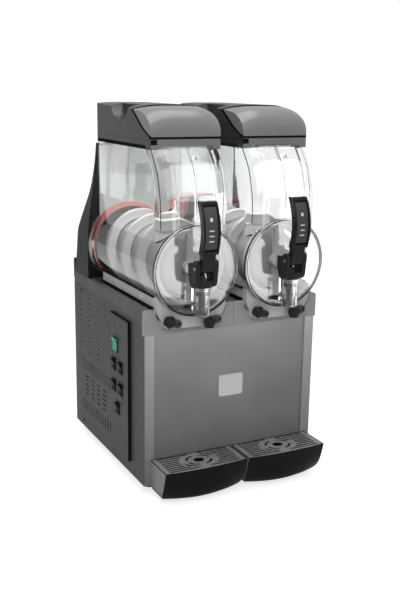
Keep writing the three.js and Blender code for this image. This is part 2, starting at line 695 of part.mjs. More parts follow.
const handlePin = () => join(
  cylinderX(3, TAP_PIVOT.y, TAP_PIVOT.z, -24.5, 24.5, 12),
  cylinderX(5, TAP_PIVOT.y, TAP_PIVOT.z, 23.8, 25.8, 12));

// Piston: a rod with a foot seal and an upper seal in the spout, and a head above the handle's prongs.
function tapPiston() {
  const seal = SPOUT_BORE - GAP;
  const profile = [
    [0, 384], [seal, 384], [seal, 390], [7, 390], [7, 422], [seal, 422], [seal, 427],
    [4.5, 427], [4.5, 484], [10, 484], [10, 488], [0, 488],
  ];
  return turnedZ(profile, 16).translate(0, SPOUT_Y, 0);
}

// Return spring between the piston's upper seal and the tap body.
function tapSpring() {
  const [bottom, top, radius, wire, turns, steps] = [428.3, 444.8, 9, 0.8, 4, 8];
  const points = [];
  for (let i = 0; i <= turns * steps; i += 1) {
    const angle = (i / steps) * 2 * Math.PI;
    const z = bottom + ((top - bottom) * i) / (turns * steps);
    points.push(new THREE.Vector3(radius * Math.cos(angle), SPOUT_Y + radius * Math.sin(angle), z));
  }
  const section = new THREE.Shape(arc(0, 0, wire, 0, 288, 4).map(([u, v]) => new THREE.Vector2(u, v)));
  return new THREE.ExtrudeGeometry(section, {
    steps: turns * steps, extrudePath: new THREE.CatmullRomCurve3(points),
  });
}

// Latch: a knob on the bowl's foot with a hooked arm towards +X.
function latch(x, z, tilt) {
  const lobes = [];
  for (let i = 0; i < 10; i += 1) {
    const outer = i % 2 ? 11 : 14;
    const angle = (i / 10) * 2 * Math.PI;
    lobes.push([outer * Math.cos(angle), outer * Math.sin(angle)]);
  }
  const knob = alongY(lobes, -26, -14);
  const armOutline = [...arc(0, 0, 9, 90, 270, 5), ...arc(22, 0, 8, -90, 90, 6)];
  const arm = cut(alongY(armOutline, -16, -10.3), cylinderY(3.5, 22, 0, -20, -5, 10));
  return join(knob, arm).rotateY(THREE.MathUtils.degToRad(tilt)).translate(x, 0, z);
}

// ---- drip tray ----

const TRAY_SLICES = [
  [6, 80, -40, -60], [12, 86, -50, -68], [28, 91, -61, -76],
  [50, TRAY_HALF, -70, -80], [TRAY_TOP, TRAY_HALF, -77, -83],
];

// A level ring of the tray: straight back, square sides and a bowed front.
function trayRing(z, half, endY, midY, backY) {
  const points = [new THREE.Vector3(half, backY, z), new THREE.Vector3(-half, backY, z)];
  const steps = 8;
  for (let i = 0; i <= steps; i += 1) {
    const across = -1 + (2 * i) / steps;
    points.push(new THREE.Vector3(across * half, endY + (midY - endY) * (1 - across * across), z));
  }
  return points;
}

function dripTray() {
  const wall = 2.5;
  const back = -GAP;
  const outer = loft(TRAY_SLICES.map(([z, half, end, mid]) => trayRing(z, half, end, mid, back)));
  const inner = loft(TRAY_SLICES.map(([z, half, end, mid], i) => trayRing(
    i === 0 ? z + wall : z + (i === TRAY_SLICES.length - 1 ? 1 : 0),
    half - wall - 2, end + wall + 2, mid + wall + 2, back - wall - 2)));
  const seat = loft([TRAY_TOP - 4, TRAY_TOP + 1].map((z) =>
    trayRing(z, TRAY_HALF - wall, -77 + wall, -83 + wall, back - wall)));
  return cut(outer, inner, seat);
}

// Grille: a plate of slots with rings round a middle hole.
function trayGrille() {
  const inset = 2.5 + GAP;
  const back = -GAP - inset;
  const ring = trayRing(0, TRAY_HALF - inset, -77 + inset, -83 + inset, back).map(({ x, y }) => [x, y]);
  const holes = [];
  const [centreY, clear] = [-38, 33];
  for (let row = 0; row < 9; row += 1) {
    const y = -70 + row * 8;
    const reach = Math.abs(y - centreY) < clear ? Math.sqrt(clear ** 2 - (y - centreY) ** 2) * 1.25 : 0;
    if (reach > 4) {
      holes.push(rectangle(-80, -reach - 1, y - 1.8, y + 1.8), rectangle(reach + 1, 80, y - 1.8, y + 1.8));
    } else {
      holes.push(rectangle(-80, 80, y - 1.8, y + 1.8));
    }
  }
  const oval = (radius, start, end) =>
    arc(0, 0, radius, start, end, 5).map(([x, y]) => [x * 1.25, y + centreY]);
  for (const start of [15, 105, 195, 285]) {
    holes.push([...oval(19, start, start + 60), ...oval(23.5, start + 60, start)]);
  }
  holes.push(arc(0, 0, 9, 0, 330, 11).map(([x, y]) => [x * 1.25, y + centreY]));
  return alongZ(ring, TRAY_TOP - 4 + GAP, TRAY_TOP, holes);
}

// ---- assembly ----

function addCabinet() {
  part('base_pan', basePan(), greyMetal());
  part('side_panel_left', sidePanel(-1), blackPaint());
  part('side_panel_right', sidePanel(1), blackPaint());
  part('front_panel', frontPanel(), blackPaint());
  part('back_panel', backPanel(), blackPaint());
  part('top_deck', topDeck(), blackPaint());
  part('apron_left', apron(-1), trimPlastic());
  part('apron_right', apron(1), trimPlastic());
  part('rear_housing', rearHousing(), blackPlastic());
  part('light_panel', lightPanel(), finish(0xe2e4e4, 0.4, 0));
  part('badge_plate', badgePlate(), steel());
  for (const [end, y] of [['front', 45], ['rear', 380]]) {
    for (const [side, x] of [['left', -165], ['right', 165]]) {
      part(`foot_${end}_${side}`, foot(x, y), rubber());
    }
  }
}

function addControls() {
  part('control_plate', controlPlate(), blackPaint());
  for (const entry of SWITCHES) {
    const lens = entry.name === 'power_rocker' ? finish(0x2fa287, 0.25, 0) : glossBlack();
    part(entry.name, rocker(entry), lens);
  }
  part('switch_box', switchBox(), blackPlastic());
  part('power_inlet', powerInlet(), blackPlastic());
}

function addRefrigeration() {
  part('compressor', compressor(), glossBlack());
  part('condenser', condenser(), copper());
  part('fan_motor', fanMotor(), greyMetal());
  part('fan_blade', fanBlade(), greyMetal());
}

function addStation(side, x) {
  const station = new THREE.Group();
  station.position.x = x;
  machine.add(station);
  const add = (name, geometry, material) => part(`${name}_${side}`, geometry, material, station);
  add('bowl', bowl(), clearPlastic());
  add('lid', lid(), blackPlastic());
  add('evaporator', evaporator(), steel());
  add('auger', auger(), finish(0xe6e6e2, 0.4, 0));
  add('drive_shaft', driveShaft(), steel());
  add('gasket', gasket(), finish(0xb0302c, 0.6, 0));
  add('gearmotor', gearmotor(), greyMetal());
  add('tap_body', tapBody(), blackPlastic());
  add('tap_handle', tapHandle(), glossBlack());
  add('handle_pin', handlePin(), steel());
  add('tap_piston', tapPiston(), blackPlastic());
  add('tap_spring', tapSpring(), steel());
  add('latch_outer', latch(-53, 366, 20), blackPlastic());
  add('latch_inner', latch(34, 356, -10), blackPlastic());
}

function addTray(side, x) {
  const group = new THREE.Group();
  group.position.x = x;
  machine.add(group);
  part(`drip_tray_${side}`, dripTray(), glossBlack(), group);
  part(`tray_grille_${side}`, trayGrille(), greyMetal(), group);
}

addCabinet();
addControls();
addRefrigeration();
addStation('left', -STATION_X);
addStation('right', STATION_X);
addTray('left', -TRAY_X);
addTray('right', TRAY_X);

export default machine;
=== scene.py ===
"""Looks of a countertop slush machine with two bowls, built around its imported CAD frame.

Shapes are drawn in millimetres from the machine's own datum: its middle plane, the front face of its
trim and the worktop. Each one is then moved to the frame's metres and rides on its CAD body.
"""

import math
from functools import partial

import bmesh
import bpy
from mathutils import Matrix, Vector


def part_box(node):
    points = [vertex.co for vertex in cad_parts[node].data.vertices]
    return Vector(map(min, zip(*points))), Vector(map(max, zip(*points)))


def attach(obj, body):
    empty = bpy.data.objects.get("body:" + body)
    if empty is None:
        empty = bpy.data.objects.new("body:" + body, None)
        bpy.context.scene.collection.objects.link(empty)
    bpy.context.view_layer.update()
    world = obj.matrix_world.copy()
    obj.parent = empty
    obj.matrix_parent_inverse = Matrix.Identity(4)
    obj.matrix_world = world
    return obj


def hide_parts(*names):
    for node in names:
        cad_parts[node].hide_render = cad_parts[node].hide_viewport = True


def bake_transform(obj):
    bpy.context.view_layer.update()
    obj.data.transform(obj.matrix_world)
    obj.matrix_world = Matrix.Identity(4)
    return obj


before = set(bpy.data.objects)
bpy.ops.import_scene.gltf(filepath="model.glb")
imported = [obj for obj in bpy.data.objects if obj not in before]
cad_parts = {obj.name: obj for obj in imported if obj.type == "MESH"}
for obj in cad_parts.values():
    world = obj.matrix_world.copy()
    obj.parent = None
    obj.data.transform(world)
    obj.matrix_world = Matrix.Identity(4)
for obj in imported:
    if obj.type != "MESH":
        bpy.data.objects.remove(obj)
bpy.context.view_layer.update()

# ---- datum and driving dimensions, from the frame ----

MM = 0.001
SCENE = bpy.context.scene


def box_mm(node):
    """A CAD node's box in millimetres from the datum."""
    low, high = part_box(node)
    return (low - DATUM) / MM, (high - DATUM) / MM


DATUM = Vector((sum(c.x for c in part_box("front_panel")) / 2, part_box("apron_left")[0].y, 0))
SIDES = {"left": -1, "right": 1}
STATION = {side: sum(c.x for c in box_mm(f"evaporator_{side}")) / 2 for side in SIDES}
TRAY = {side: sum(c.x for c in box_mm(f"drip_tray_{side}")) / 2 for side in SIDES}
deck_low, deck_high = box_mm("top_deck")
BODY_HALF, BODY_DEPTH, DECK_TOP = deck_high
DECK_UNDER = deck_low.z
APRON_HALF = box_mm("apron_right")[1].x
APRON_BOTTOM = box_mm("apron_left")[0].z
HOUSING_TOP = box_mm("rear_housing")[1].z
LID_LOW, LID_HIGH = (corner.z for corner in box_mm("lid_left"))
drum_low, drum_high = (corner.z for corner in box_mm("evaporator_left"))
AXIS_Z = (drum_low + drum_high) / 2
DRUM_RADIUS = (drum_high - drum_low) / 2
AUGER_RADIUS = (box_mm("auger_left")[1].z - box_mm("auger_left")[0].z) / 2
COLLAR_RADIUS = (box_mm("bowl_left")[1].x - box_mm("bowl_left")[0].x) / 2
BOWL_RADIUS = COLLAR_RADIUS - 5.5
BOWL_REAR = box_mm("bowl_left")[1].y
BOWL_FRONT = -30
HOPPER_HALF = 74
HOPPER_TOP = 699.3
SHEET = 1.5
GAP = 0.3
FOOT_TOP = 20
PANEL_RECESS = 6
POST_WIDTH = 22
SCALLOP_Z = 410
SPOUT_Y = -52
TAP_PIVOT = Vector((0, -66, 477))
HOUSING_FRONT = 317

# ---- mesh helpers: every one returns a mesh in millimetres ----


def given(thing, **settings):
    """The thing with its settings made."""
    for key, value in settings.items():
        setattr(thing, key, value)
    return thing


def new_object(name, data):
    """A new object in the scene."""
    made = bpy.data.objects.new(name, data)
    SCENE.collection.objects.link(made)
    return made


def mesh_of(verts, faces):
    """A mesh with its doubled points merged and its faces turned outwards."""
    mesh = bpy.data.meshes.new("shape")
    mesh.from_pydata([tuple(v) for v in verts], [], faces)
    return tidied(mesh)


def tidied(mesh, merge=1e-4):
    bm = bmesh.new()
    bm.from_mesh(mesh)
    bmesh.ops.remove_doubles(bm, verts=bm.verts, dist=merge)
    bmesh.ops.dissolve_degenerate(bm, edges=bm.edges, dist=merge)
    bmesh.ops.recalc_face_normals(bm, faces=bm.faces)
    bm.to_mesh(mesh)
    bm.free()
    return mesh


def moved(mesh, x=0, y=0, z=0):
    mesh.transform(Matrix.Translation((x, y, z)))
    return mesh


def on_axis(mesh):
    """A mesh drawn about the Y axis, raised to the drum's axis."""
    return moved(mesh, 0, 0, AXIS_Z)


def on_spout(mesh):
    """A mesh drawn about the Z axis, brought to the spout's axis."""
    return moved(mesh, 0, SPOUT_Y)


def spun(mesh, degrees, axis, about=(0, 0, 0)):
    """The mesh turned about an axis through a point."""
    there = Matrix.Translation(about)
    mesh.transform(there @ Matrix.Rotation(math.radians(degrees), 4, axis) @ there.inverted())
    return mesh


def sided(mesh, side):
    """A mesh drawn for the left side, mirrored where the side is the right one."""
    if side > 0:
        mesh.transform(Matrix.Scale(-1, 4, (1, 0, 0)))
        mesh.flip_normals()
    return mesh


def together(*meshes):
    """Several meshes as one, left as they are."""
    bm = bmesh.new()
    for mesh in meshes:
        bm.from_mesh(mesh)
    joined = bpy.data.meshes.new("shape")
    bm.to_mesh(joined)
    bm.free()
    return joined


def evaluated(holder):
    """The mesh of a scratch object with its modifiers applied; the object goes."""
    graph = bpy.context.evaluated_depsgraph_get()
    mesh = bpy.data.meshes.new_from_object(holder.evaluated_get(graph))
    bpy.data.objects.remove(holder)
    return mesh


def modified(mesh, kind, **settings):
    """The mesh after one modifier."""
    holder = new_object("work", mesh)
    given(holder.modifiers.new("step", kind), **settings)
    return evaluated(holder)


def boolean(operation, mesh, *tools):
    holder = new_object("work", mesh)
    others = [new_object("tool", tool) for tool in tools]
    for other in others:
        given(holder.modifiers.new("step", "BOOLEAN"), operation=operation, solver="MANIFOLD", object=other)
    result = evaluated(holder)
    for other in others:
        bpy.data.objects.remove(other)
    return result


union = partial(boolean, "UNION")
cut = partial(boolean, "DIFFERENCE")
common = partial(boolean, "INTERSECT")


def bevelled(mesh, width, segments=3, angle=30):
    """The mesh with its sharp edges rounded."""
    return modified(mesh, "BEVEL", width=width, segments=segments, limit_method="ANGLE",
                    angle_limit=math.radians(angle), harden_normals=False)


AXES = {
    "X": Matrix(((0, 0, 1, 0), (1, 0, 0, 0), (0, 1, 0, 0), (0, 0, 0, 1))),
    "Y": Matrix(((1, 0, 0, 0), (0, 0, 1, 0), (0, 1, 0, 0), (0, 0, 0, 1))),
    "Z": Matrix.Identity(4),
}


def turned(mesh, axis):
    """A mesh drawn in (u, v) and standing along w, put along X, Y or Z."""
    mesh.transform(AXES[axis])
    return tidied(mesh)


def from_curve(loops, closed, **settings):
    """The mesh of a curve with straight pieces through loops of points."""
    curve = given(bpy.data.curves.new("curve", "CURVE"), **settings)
    for loop in loops:
        spline = curve.splines.new("POLY")
        spline.points.add(len(loop) - 1)
        spline.use_cyclic_u = closed
        for point, place in zip(spline.points, loop):
            point.co = Vector(place).to_3d().to_4d()
    mesh = evaluated(new_object("work", curve))
    bpy.data.curves.remove(curve)
    return mesh


def plate(axis, outline, low, high, holes=(), edge=0.4, steps=1):
    """An outline with holes, extruded between two places along an axis, with softened edges."""
    mesh = from_curve((outline, *holes), True, dimensions="2D", fill_mode="BOTH", extrude=(high - low) / 2 - edge,
                      bevel_depth=edge, bevel_resolution=steps, offset=-edge)
    return turned(moved(mesh, z=(low + high) / 2), axis)


def revolved(axis, profile, sides=96):
    """A closed (radius, height) profile turned about an axis."""
    verts, faces = [], []
    count = len(profile)
    for step in range(sides):
        angle = 2 * math.pi * step / sides
        verts += [(radius * math.cos(angle), radius * math.sin(angle), height) for radius, height in profile]
    for step in range(sides):
        here, after = step * count, (step + 1) % sides * count
        for i in range(count):
            j = (i + 1) % count
            if max(profile[i][0], profile[j][0]) > 1e-6:
                faces.append((here + i, here + j, after + j, after + i))
    return turned(mesh_of(verts, faces), axis)


def lofted(rings):
    """Rings of the same number of points, skinned, with a cap at each end."""
    count = len(rings[0])
    verts = [point for ring in rings for point in ring]
    faces = []
    for a in range(0, len(verts) - count, count):
        for i in range(count):
            j = (i + 1) % count
            faces.append((a + i, a + j, a + count + j, a + count + i))
    faces += [tuple(range(count)), tuple(range(len(verts) - count, len(verts)))]
    return mesh_of(verts, faces)


def block(x0, x1, y0, y1, z0, z1, edge=0.5, segments=2):
    mesh = lofted([[(x0, y0, z), (x1, y0, z), (x1, y1, z), (x0, y1, z)] for z in (z0, z1)])
    return bevelled(mesh, edge, segments) if edge else mesh


QUARTER = [math.radians(a) for a in (0, 30, 60, 90)]


def rod(axis, radius, low, high, edge=0.4, sides=48):
    """A round bar with rounded ends."""
    ends = [(radius - edge + edge * math.sin(a), edge - edge * math.cos(a)) for a in QUARTER]
    profile = [(0, low), *[(r, low + h) for r, h in ends], *[(r, high - h) for r, h in reversed(ends)]]
    return revolved(axis, [*profile, (0, high)], sides)


def wire(points, radius, closed=False):
    """A round wire along points."""
    return tidied(from_curve([points], closed, dimensions="3D", bevel_depth=radius, bevel_resolution=3,
                             use_fill_caps=True))


# ---- outlines ----


def rectangle(u0, u1, v0, v1):
    return [(u0, v0), (u1, v0), (u1, v1), (u0, v1)]


def arc(cu, cv, radius, start, end, steps):
    angles = [math.radians(start + (end - start) * i / steps) for i in range(steps + 1)]
    return [(cu + radius * math.cos(a), cv + radius * math.sin(a)) for a in angles]


def circle(cu, cv, radius, steps=32):
    return arc(cu, cv, radius, 0, 360, steps)[:-1]


def filleted(points, radius, steps=4):
    """A closed outline with its corners rounded; radius is a number or one for each corner."""
    count = len(points)
    radii = radius if hasattr(radius, "__len__") else [radius] * count
    made = []
    for i, (point, size) in enumerate(zip(points, radii)):
        corner = Vector(point)
        before = Vector(points[i - 1]) - corner
        after = Vector(points[(i + 1) % count]) - corner
        reach = min(size, before.length * 0.49, after.length * 0.49)
        if reach < 1e-3:
            made.append(tuple(corner))
            continue
        a, b = corner + before.normalized() * reach, corner + after.normalized() * reach
        for k in range(steps + 1):
            t = k / steps
            made.append(tuple(a * (1 - t) ** 2 + corner * (2 * t * (1 - t)) + b * t * t))
    return made


def slot_outline(u0, u1, v0, v1):
    """A slot with round ends, along its longer side."""
    radius = min(u1 - u0, v1 - v0) / 2
    if u1 - u0 > v1 - v0:
        middle = (v0 + v1) / 2
        return arc(u1 - radius, middle, radius, -90, 90, 6) + arc(u0 + radius, middle, radius, 90, 270, 6)
    middle = (u0 + u1) / 2
    return arc(middle, v1 - radius, radius, 0, 180, 6) + arc(middle, v0 + radius, radius, 180, 360, 6)


def smooth_line(points, steps=6):
    """A Catmull-Rom line through points, the first and last kept."""
    made = []
    ends = [Vector(point) for point in (points[0], *points, points[-1])]
    for a, b, c, d in zip(ends, ends[1:], ends[2:], ends[3:]):
        for k in range(steps):
            t = k / steps
            made.append(tuple(0.5 * (
                2 * b + (c - a) * t + (2 * a - 5 * b + 4 * c - d) * t**2 + (3 * b - a - 3 * c + d) * t**3)))
    return [*made, tuple(points[-1])]


def level_ring(half, y0, y1, z, front_radius, back_radius, steps=8):
    """A level rectangle between y0, the front, and y1, with rounded corners."""
    back, front = back_radius, front_radius
    flat = [
        *arc(half - back, y1 - back, back, 0, 90, steps), *arc(-half + back, y1 - back, back, 90, 180, steps),
        *arc(-half + front, y0 + front, front, 180, 270, steps), *arc(half - front, y0 + front, front, 270, 360, steps),
    ]
    return [(x, y, z) for x, y in flat]


# ---- materials ----


class Nodes:
    """A node tree, with short calls for what the finishes and the sky are made of."""

    def __init__(self, owner, coordinate="Object"):
        self.owner = given(owner, use_nodes=True)
        self.tree = owner.node_tree
        self.shader = self.tree.nodes.get("Principled BSDF")
        self.place = self.new("ShaderNodeTexCoord").outputs[coordinate]

    def new(self, kind, sockets=(), **settings):
        """A node with its settings made and its sockets filled."""
        return self.filled(given(self.tree.nodes.new(kind), **settings), sockets)

    def filled(self, node, sockets):
        """The node with its sockets linked to a source or given a value."""
        for key, value in dict(sockets).items():
            if isinstance(value, bpy.types.NodeSocket):
                self.tree.links.new(value, node.inputs[key])
            elif value is not None:
                node.inputs[key].default_value = value
        return node

    def noise(self, scale, detail=4, stretch=None):
        place = self.place
        if stretch:
            place = self.new("ShaderNodeMapping", {"Vector": place, "Scale": stretch}).outputs["Vector"]
        return self.new("ShaderNodeTexNoise", {"Scale": scale, "Detail": detail, "Vector": place}).outputs["Fac"]

    def ranged(self, source, low, high, start=0.3, end=0.7, **settings):
        sockets = {"Value": source, "From Min": start, "From Max": end, "To Min": low, "To Max": high}
        return self.new("ShaderNodeMapRange", sockets, **settings).outputs["Result"]

    def blend(self, factor, first, second):
        """A colour between two."""
        sockets = {"Factor": factor, 6: (*first, 1), 7: (*second, 1)}
        return self.new("ShaderNodeMix", sockets, data_type="RGBA").outputs[2]

    def choice(self, factor, first, second):
        """A number between two."""
        return self.new("ShaderNodeMix", {"Factor": factor, 2: first, 3: second}).outputs[0]

    def bump(self, height, strength, distance):
        sockets = {"Height": height, "Strength": strength, "Distance": distance}
        return self.new("ShaderNodeBump", sockets).outputs["Normal"]

    def finish(self, colour, roughness, normal=None, **values):
        self.filled(self.shader, {"Base Color": colour, "Roughness": roughness, "Normal": normal})
        self.filled(self.shader, {key.replace("_", " ").title().replace("Ior", "IOR"): value
                                  for key, value in values.items()})
        return self.owner


def coated(name, dark, light, rough, metallic=0.0, grain=900, depth=0.00004, cloud=9, gloss=0.5, **values):
    """Paint or moulded plastic: cloudy colour, uneven gloss and a fine grain."""
    n = Nodes(bpy.data.materials.new(name))
    colour = n.blend(n.ranged(n.noise(cloud, 3), 0, 1), dark, light)
    roughness = n.ranged(n.noise(cloud * 6, 5), *rough)
    return n.finish(colour, roughness, n.bump(n.noise(grain, 2), 0.5, depth), metallic=metallic,
                    specular_ior_level=gloss, **values)


def brushed(name, dark, light, rough, along):
    """Metal brushed along one axis: fine lines in colour, gloss and height."""
    n = Nodes(bpy.data.materials.new(name))
    stretch = [260.0, 260.0, 260.0]
    stretch["XYZ".index(along)] = 3.0
    lines = n.noise(1, 3, stretch)
    colour = n.blend(n.ranged(lines, 0, 1), dark, light)
    return n.finish(colour, n.ranged(n.noise(14, 2), *rough), n.bump(lines, 0.35, 0.00003), metallic=1.0)


def clear(name, tint, paler):
    """Clear moulded plastic with faint flow lines, which lets light through to what is behind it."""
    n = Nodes(bpy.data.materials.new(name))
    flow = n.noise(12, 2, (3.0, 3.0, 1.0))
    colour = n.blend(n.ranged(flow, 0, 1), tint, paler)
    roughness = n.ranged(n.noise(30, 3), 0.012, 0.035)
    n.finish(colour, roughness, n.bump(flow, 0.12, 0.0006), transmission_weight=1.0, ior=1.49)
    through = n.new("ShaderNodeBsdfTransparent", {"Color": (0.93, 0.93, 0.93, 1)})
    shadow = n.new("ShaderNodeLightPath").outputs["Is Shadow Ray"]
    mix = n.new("ShaderNodeMixShader", {0: shadow, 1: n.shader.outputs[0], 2: through.outputs[0]})
    n.filled(n.tree.nodes["Material Output"], {"Surface": mix.outputs[0]})
    return n.owner


# Near-neutral finishes: the darkest and lightest grey, how much bluer than grey, the least and most
# roughness, and what else differs from other coatings.
GREYS = {
    "black_paint": (0.055, 0.07, 0.002, 0.38, 0.46, {"metallic": 0.1, "grain": 1500, "depth": 0.00003}),
    "deck_paint": (0.08, 0.10, 0.002, 0.35, 0.45, {"metallic": 0.1}),
    # A darker copy of the black paint for the front sheet: painted shade, so that its fill light alone lifts the top.
    "panel_paint_shaded": (0.036, 0.045, 0.001, 0.36, 0.42, {"metallic": 0.1, "grain": 1500, "depth": 0.00003}),
    "grey_trim": (0.33, 0.37, 0.003, 0.3, 0.4, {"grain": 1200}),
    "black_plastic": (0.008, 0.014, 0.001, 0.28, 0.4, {"gloss": 0.35}),
    "housing_plastic": (0.010, 0.016, 0.001, 0.25, 0.34, {"gloss": 0.2}),
    # Dark grey for the wires that paint the clear bowls' dark edge lines: painted shade and reflection.
    "painted_edge_grey": (0.03, 0.05, 0, 0.5, 0.6, {"gloss": 0.2}),
    "switch_black": (0.004, 0.007, 0, 0.25, 0.35, {"gloss": 0.12}),
    "latch_arm": (0.045, 0.065, 0.001, 0.2, 0.3),
    "lid_plastic": (0.03, 0.04, 0.001, 0.28, 0.34),
    # A paler grey for the visor, its own moulding of the lid's plastic: painted light and sheen on the lid's front.
    "visor_painted_light": (0.2, 0.22, 0.001, 0.2, 0.26, {"grain": 1600, "depth": 0.00001}),
    "gloss_black": (0.006, 0.012, 0.001, 0.12, 0.2, {"gloss": 0.35}),
    "handle_inlay": (0.05, 0.065, 0, 0.45, 0.55),
    "tray_plastic": (0.005, 0.009, 0.001, 0.14, 0.22, {"gloss": 0.12}),
    # Light grey for the black trays' side faces: painted sheen standing in for the reflection that they catch.
    "tray_side_painted_sheen": (0.22, 0.26, 0.002, 0.3, 0.4),
    "grille_plastic": (0.2, 0.25, 0.002, 0.25, 0.35),
    "black_rubber": (0.012, 0.02, 0, 0.7, 0.85, {"grain": 700}),
    "compressor_paint": (0.015, 0.03, 0, 0.3, 0.5),
    # Opaque pale grey for the clear bowl foot: painted reflection standing in for what its clear skirt reflects and
    # lets through.
    "foot_painted_reflection": (0.55, 0.6, 0, 0.25, 0.35),
    # Matte black standing in for shade: painted shade behind the vents, round the control plate, along the bowls' feet,
    # at the lid's visor line and in the grille's slots.
    "painted_shade_black": (0.004, 0.007, 0, 0.85, 0.95, {"gloss": 0.1}),
    "white_plastic": (0.78, 0.86, -0.02, 0.35, 0.45),
}
PALE = (0.72, 0.73, 0.73), (0.78, 0.79, 0.79), (0.35, 0.45)
LOOKS = {
    name: coated(name, (dark, dark, dark + blue), (light, light, light + blue), (smooth, rough), **dict(*rest))
    for name, (dark, light, blue, smooth, rough, *rest) in GREYS.items()}
LOOKS |= {
    "grey_metal": coated("grey_metal", (0.33, 0.34, 0.35), (0.42, 0.43, 0.44), (0.35, 0.5), 0.8, cloud=30),
    "badge_metal": coated("badge_metal", (0.66, 0.67, 0.68), (0.72, 0.73, 0.74), (0.4, 0.5), grain=2500),
    "red_rubber": coated("red_rubber", (0.68, 0.19, 0.17), (0.74, 0.24, 0.21), (0.4, 0.5)),
    "green_lens": coated("green_lens", (0.02, 0.36, 0.25), (0.04, 0.46, 0.33), (0.1, 0.16)),
    "condenser_fins": brushed("condenser_fins", (0.5, 0.5, 0.5), (0.7, 0.7, 0.7), (0.35, 0.5), "Z"),
    "clear_plastic": clear("clear_plastic", (0.97, 0.98, 0.98), (0.9894, 0.9996, 0.9996)),
    "drum_steel": coated("drum_steel", (0.42, 0.423, 0.427), (0.5, 0.503, 0.507), (0.55, 0.65), 0.2, cloud=25),
    "stainless_steel": brushed("stainless_steel", (0.5, 0.505, 0.51), (0.62, 0.625, 0.63), (0.22, 0.34), "X"),
    "panel_white": coated("panel_white", *PALE),
    # A faint glow on the pale panel behind the bowls: painted light, for the panel is no lamp.
    "lit_panel": coated("lit_panel", *PALE, emission_color=(1, 1, 1, 1), emission_strength=0.15),
}


# ---- pieces ----


def add(name, mesh, look, nodes=(), slot=None, body="cabinet", x=0.0, smooth=32):
    """Places a mesh in the frame, gives it its finish and lets it ride on its body.

    The slot argument is not used, and without a body it rides on nothing and is left to the caller."""
    slot = slot or look
    moved(mesh, x=x)
    mesh.transform(Matrix.Translation(DATUM) @ Matrix.Scale(MM, 4))
    mesh.shade_smooth()
    mesh.set_sharp_from_angle(angle=math.radians(smooth))
    mesh = modified(mesh, "WEIGHTED_NORMAL", mode="FACE_AREA_WITH_ANGLE", keep_sharp=True)
    mesh.name = name
    mesh.materials.clear()
    mesh.materials.append(LOOKS[look])
    piece = new_object(name, mesh)
    if body:
        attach(piece, body)
    if nodes:
        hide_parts(*nodes)
    return piece


def second_look(piece, look, chosen):
    """Gives the faces whose normal is chosen another finish."""
    piece.data.materials.append(LOOKS[look])
    for face in piece.data.polygons:
        if chosen(face.normal):
            face.material_index = 1


def screw(axis, place, radius=3.2, height=1.6, facing=-1):
    """A pan-head screw with a cross recess, standing out of a face along an axis."""
    head = revolved("Z", [(0, 0), (radius, 0), (radius, 0.5), (radius * 0.8, height * 0.85),
                          (radius * 0.4, height), (0, height)], 32)
    arm = radius * 0.55
    head = cut(head, block(-arm, arm, -0.45, 0.45, height * 0.4, height + 1, 0),
               block(-0.45, 0.45, -arm, arm, height * 0.4, height + 1, 0))
    if facing < 0:
        spun(head, 180, "X")
    if axis == "X":
        spun(head, 90, "Y")
    elif axis == "Y":
        spun(head, -90, "X")
    return moved(head, *place)


# ---- cabinet ----

LOUVRES = [(190 + 14.6 * i, z) for z in (65, 166) for i in range(13)]
DASHES = [(212 + 37 * i, 109 + 10.6 * row) for i in range(4) for row in range(5)]
VENTS = [(261 + 57 * i, 213.5 + 12.85 * row) for i in range(3) for row in range(11)]
LOUVRE_TALL = 27
# Where the dark sheet behind the vents stands, painting the shaded inside of the cabinet.
SHADE_SHEET_X = 190.4


def side_panel(side):
    """Sheet with its vents, folded round the front corner, with a slanted blade in each louvre."""
    outer = -BODY_HALF
    inner = outer + POST_WIDTH
    post_top = APRON_BOTTOM - GAP
    sheet_top = DECK_UNDER - GAP
    outline = [(6, FOOT_TOP), (BODY_DEPTH, FOOT_TOP), (BODY_DEPTH, sheet_top), (4.3, sheet_top), (4.3, post_top),
               (6, post_top)]
    holes = [slot_outline(y - 2, y + 2, z, z + LOUVRE_TALL) for y, z in LOUVRES]
    holes += [slot_outline(y, y + 24, z - 1.6, z + 1.6) for y, z in DASHES]
    holes += [slot_outline(y - 5, y + 5, z - 1.7, z + 1.7) for y, z in VENTS]
    holes += [circle(365, 352, 2.6, 16), circle(365, 34, 2.6, 16)]
    sheet = plate("X", outline, outer, outer + SHEET, holes, 0.3)
    fold = PANEL_RECESS - GAP
    section = filleted(
        [(outer, 8), (outer, 0), (inner, 0), (inner, fold), (inner - SHEET, fold), (inner - SHEET, SHEET),
         (outer + SHEET, SHEET), (outer + SHEET, 8)],
        [0, 2.6, 2.2, 0.3, 0.3, 0.7, 0.8, 0])
    post = plate("Z", section, FOOT_TOP, post_top, edge=0.2)
    blades = [
        spun(block(outer + 0.4, outer + 5.4, y - 0.4, y + 0.4, z + 0.6, z + LOUVRE_TALL - 0.6, 0.2, 1),
             -50, "Z", (outer + 0.4, y - 1.6, z))
        for y, z in LOUVRES]
    screws = [screw("X", (outer + 0.4, 365, z), 4.4, 1.8) for z in (352, 34)]
    mesh = together(union(sheet, post), *blades)
    return sided(mesh, side), sided(together(*screws), side)


PANEL_HALF = BODY_HALF - SHEET - GAP
PANEL_OUTLINE = rectangle(-PANEL_HALF, PANEL_HALF, FOOT_TOP, DECK_UNDER - GAP)
INLET_X, INLET_Z = (sum(c[i] for c in box_mm("power_inlet")) / 2 for i in (0, 2))


def back_panel():
    holes = [rectangle(INLET_X - 24, INLET_X + 24, INLET_Z - 14, INLET_Z + 14)]
    holes += [slot_outline(x, x + 70, 120 + row * 24, 129 + row * 24) for row in range(8) for x in (-150, -60)]
    return plate("Y", PANEL_OUTLINE, BODY_DEPTH - SHEET, BODY_DEPTH, holes, 0.3)


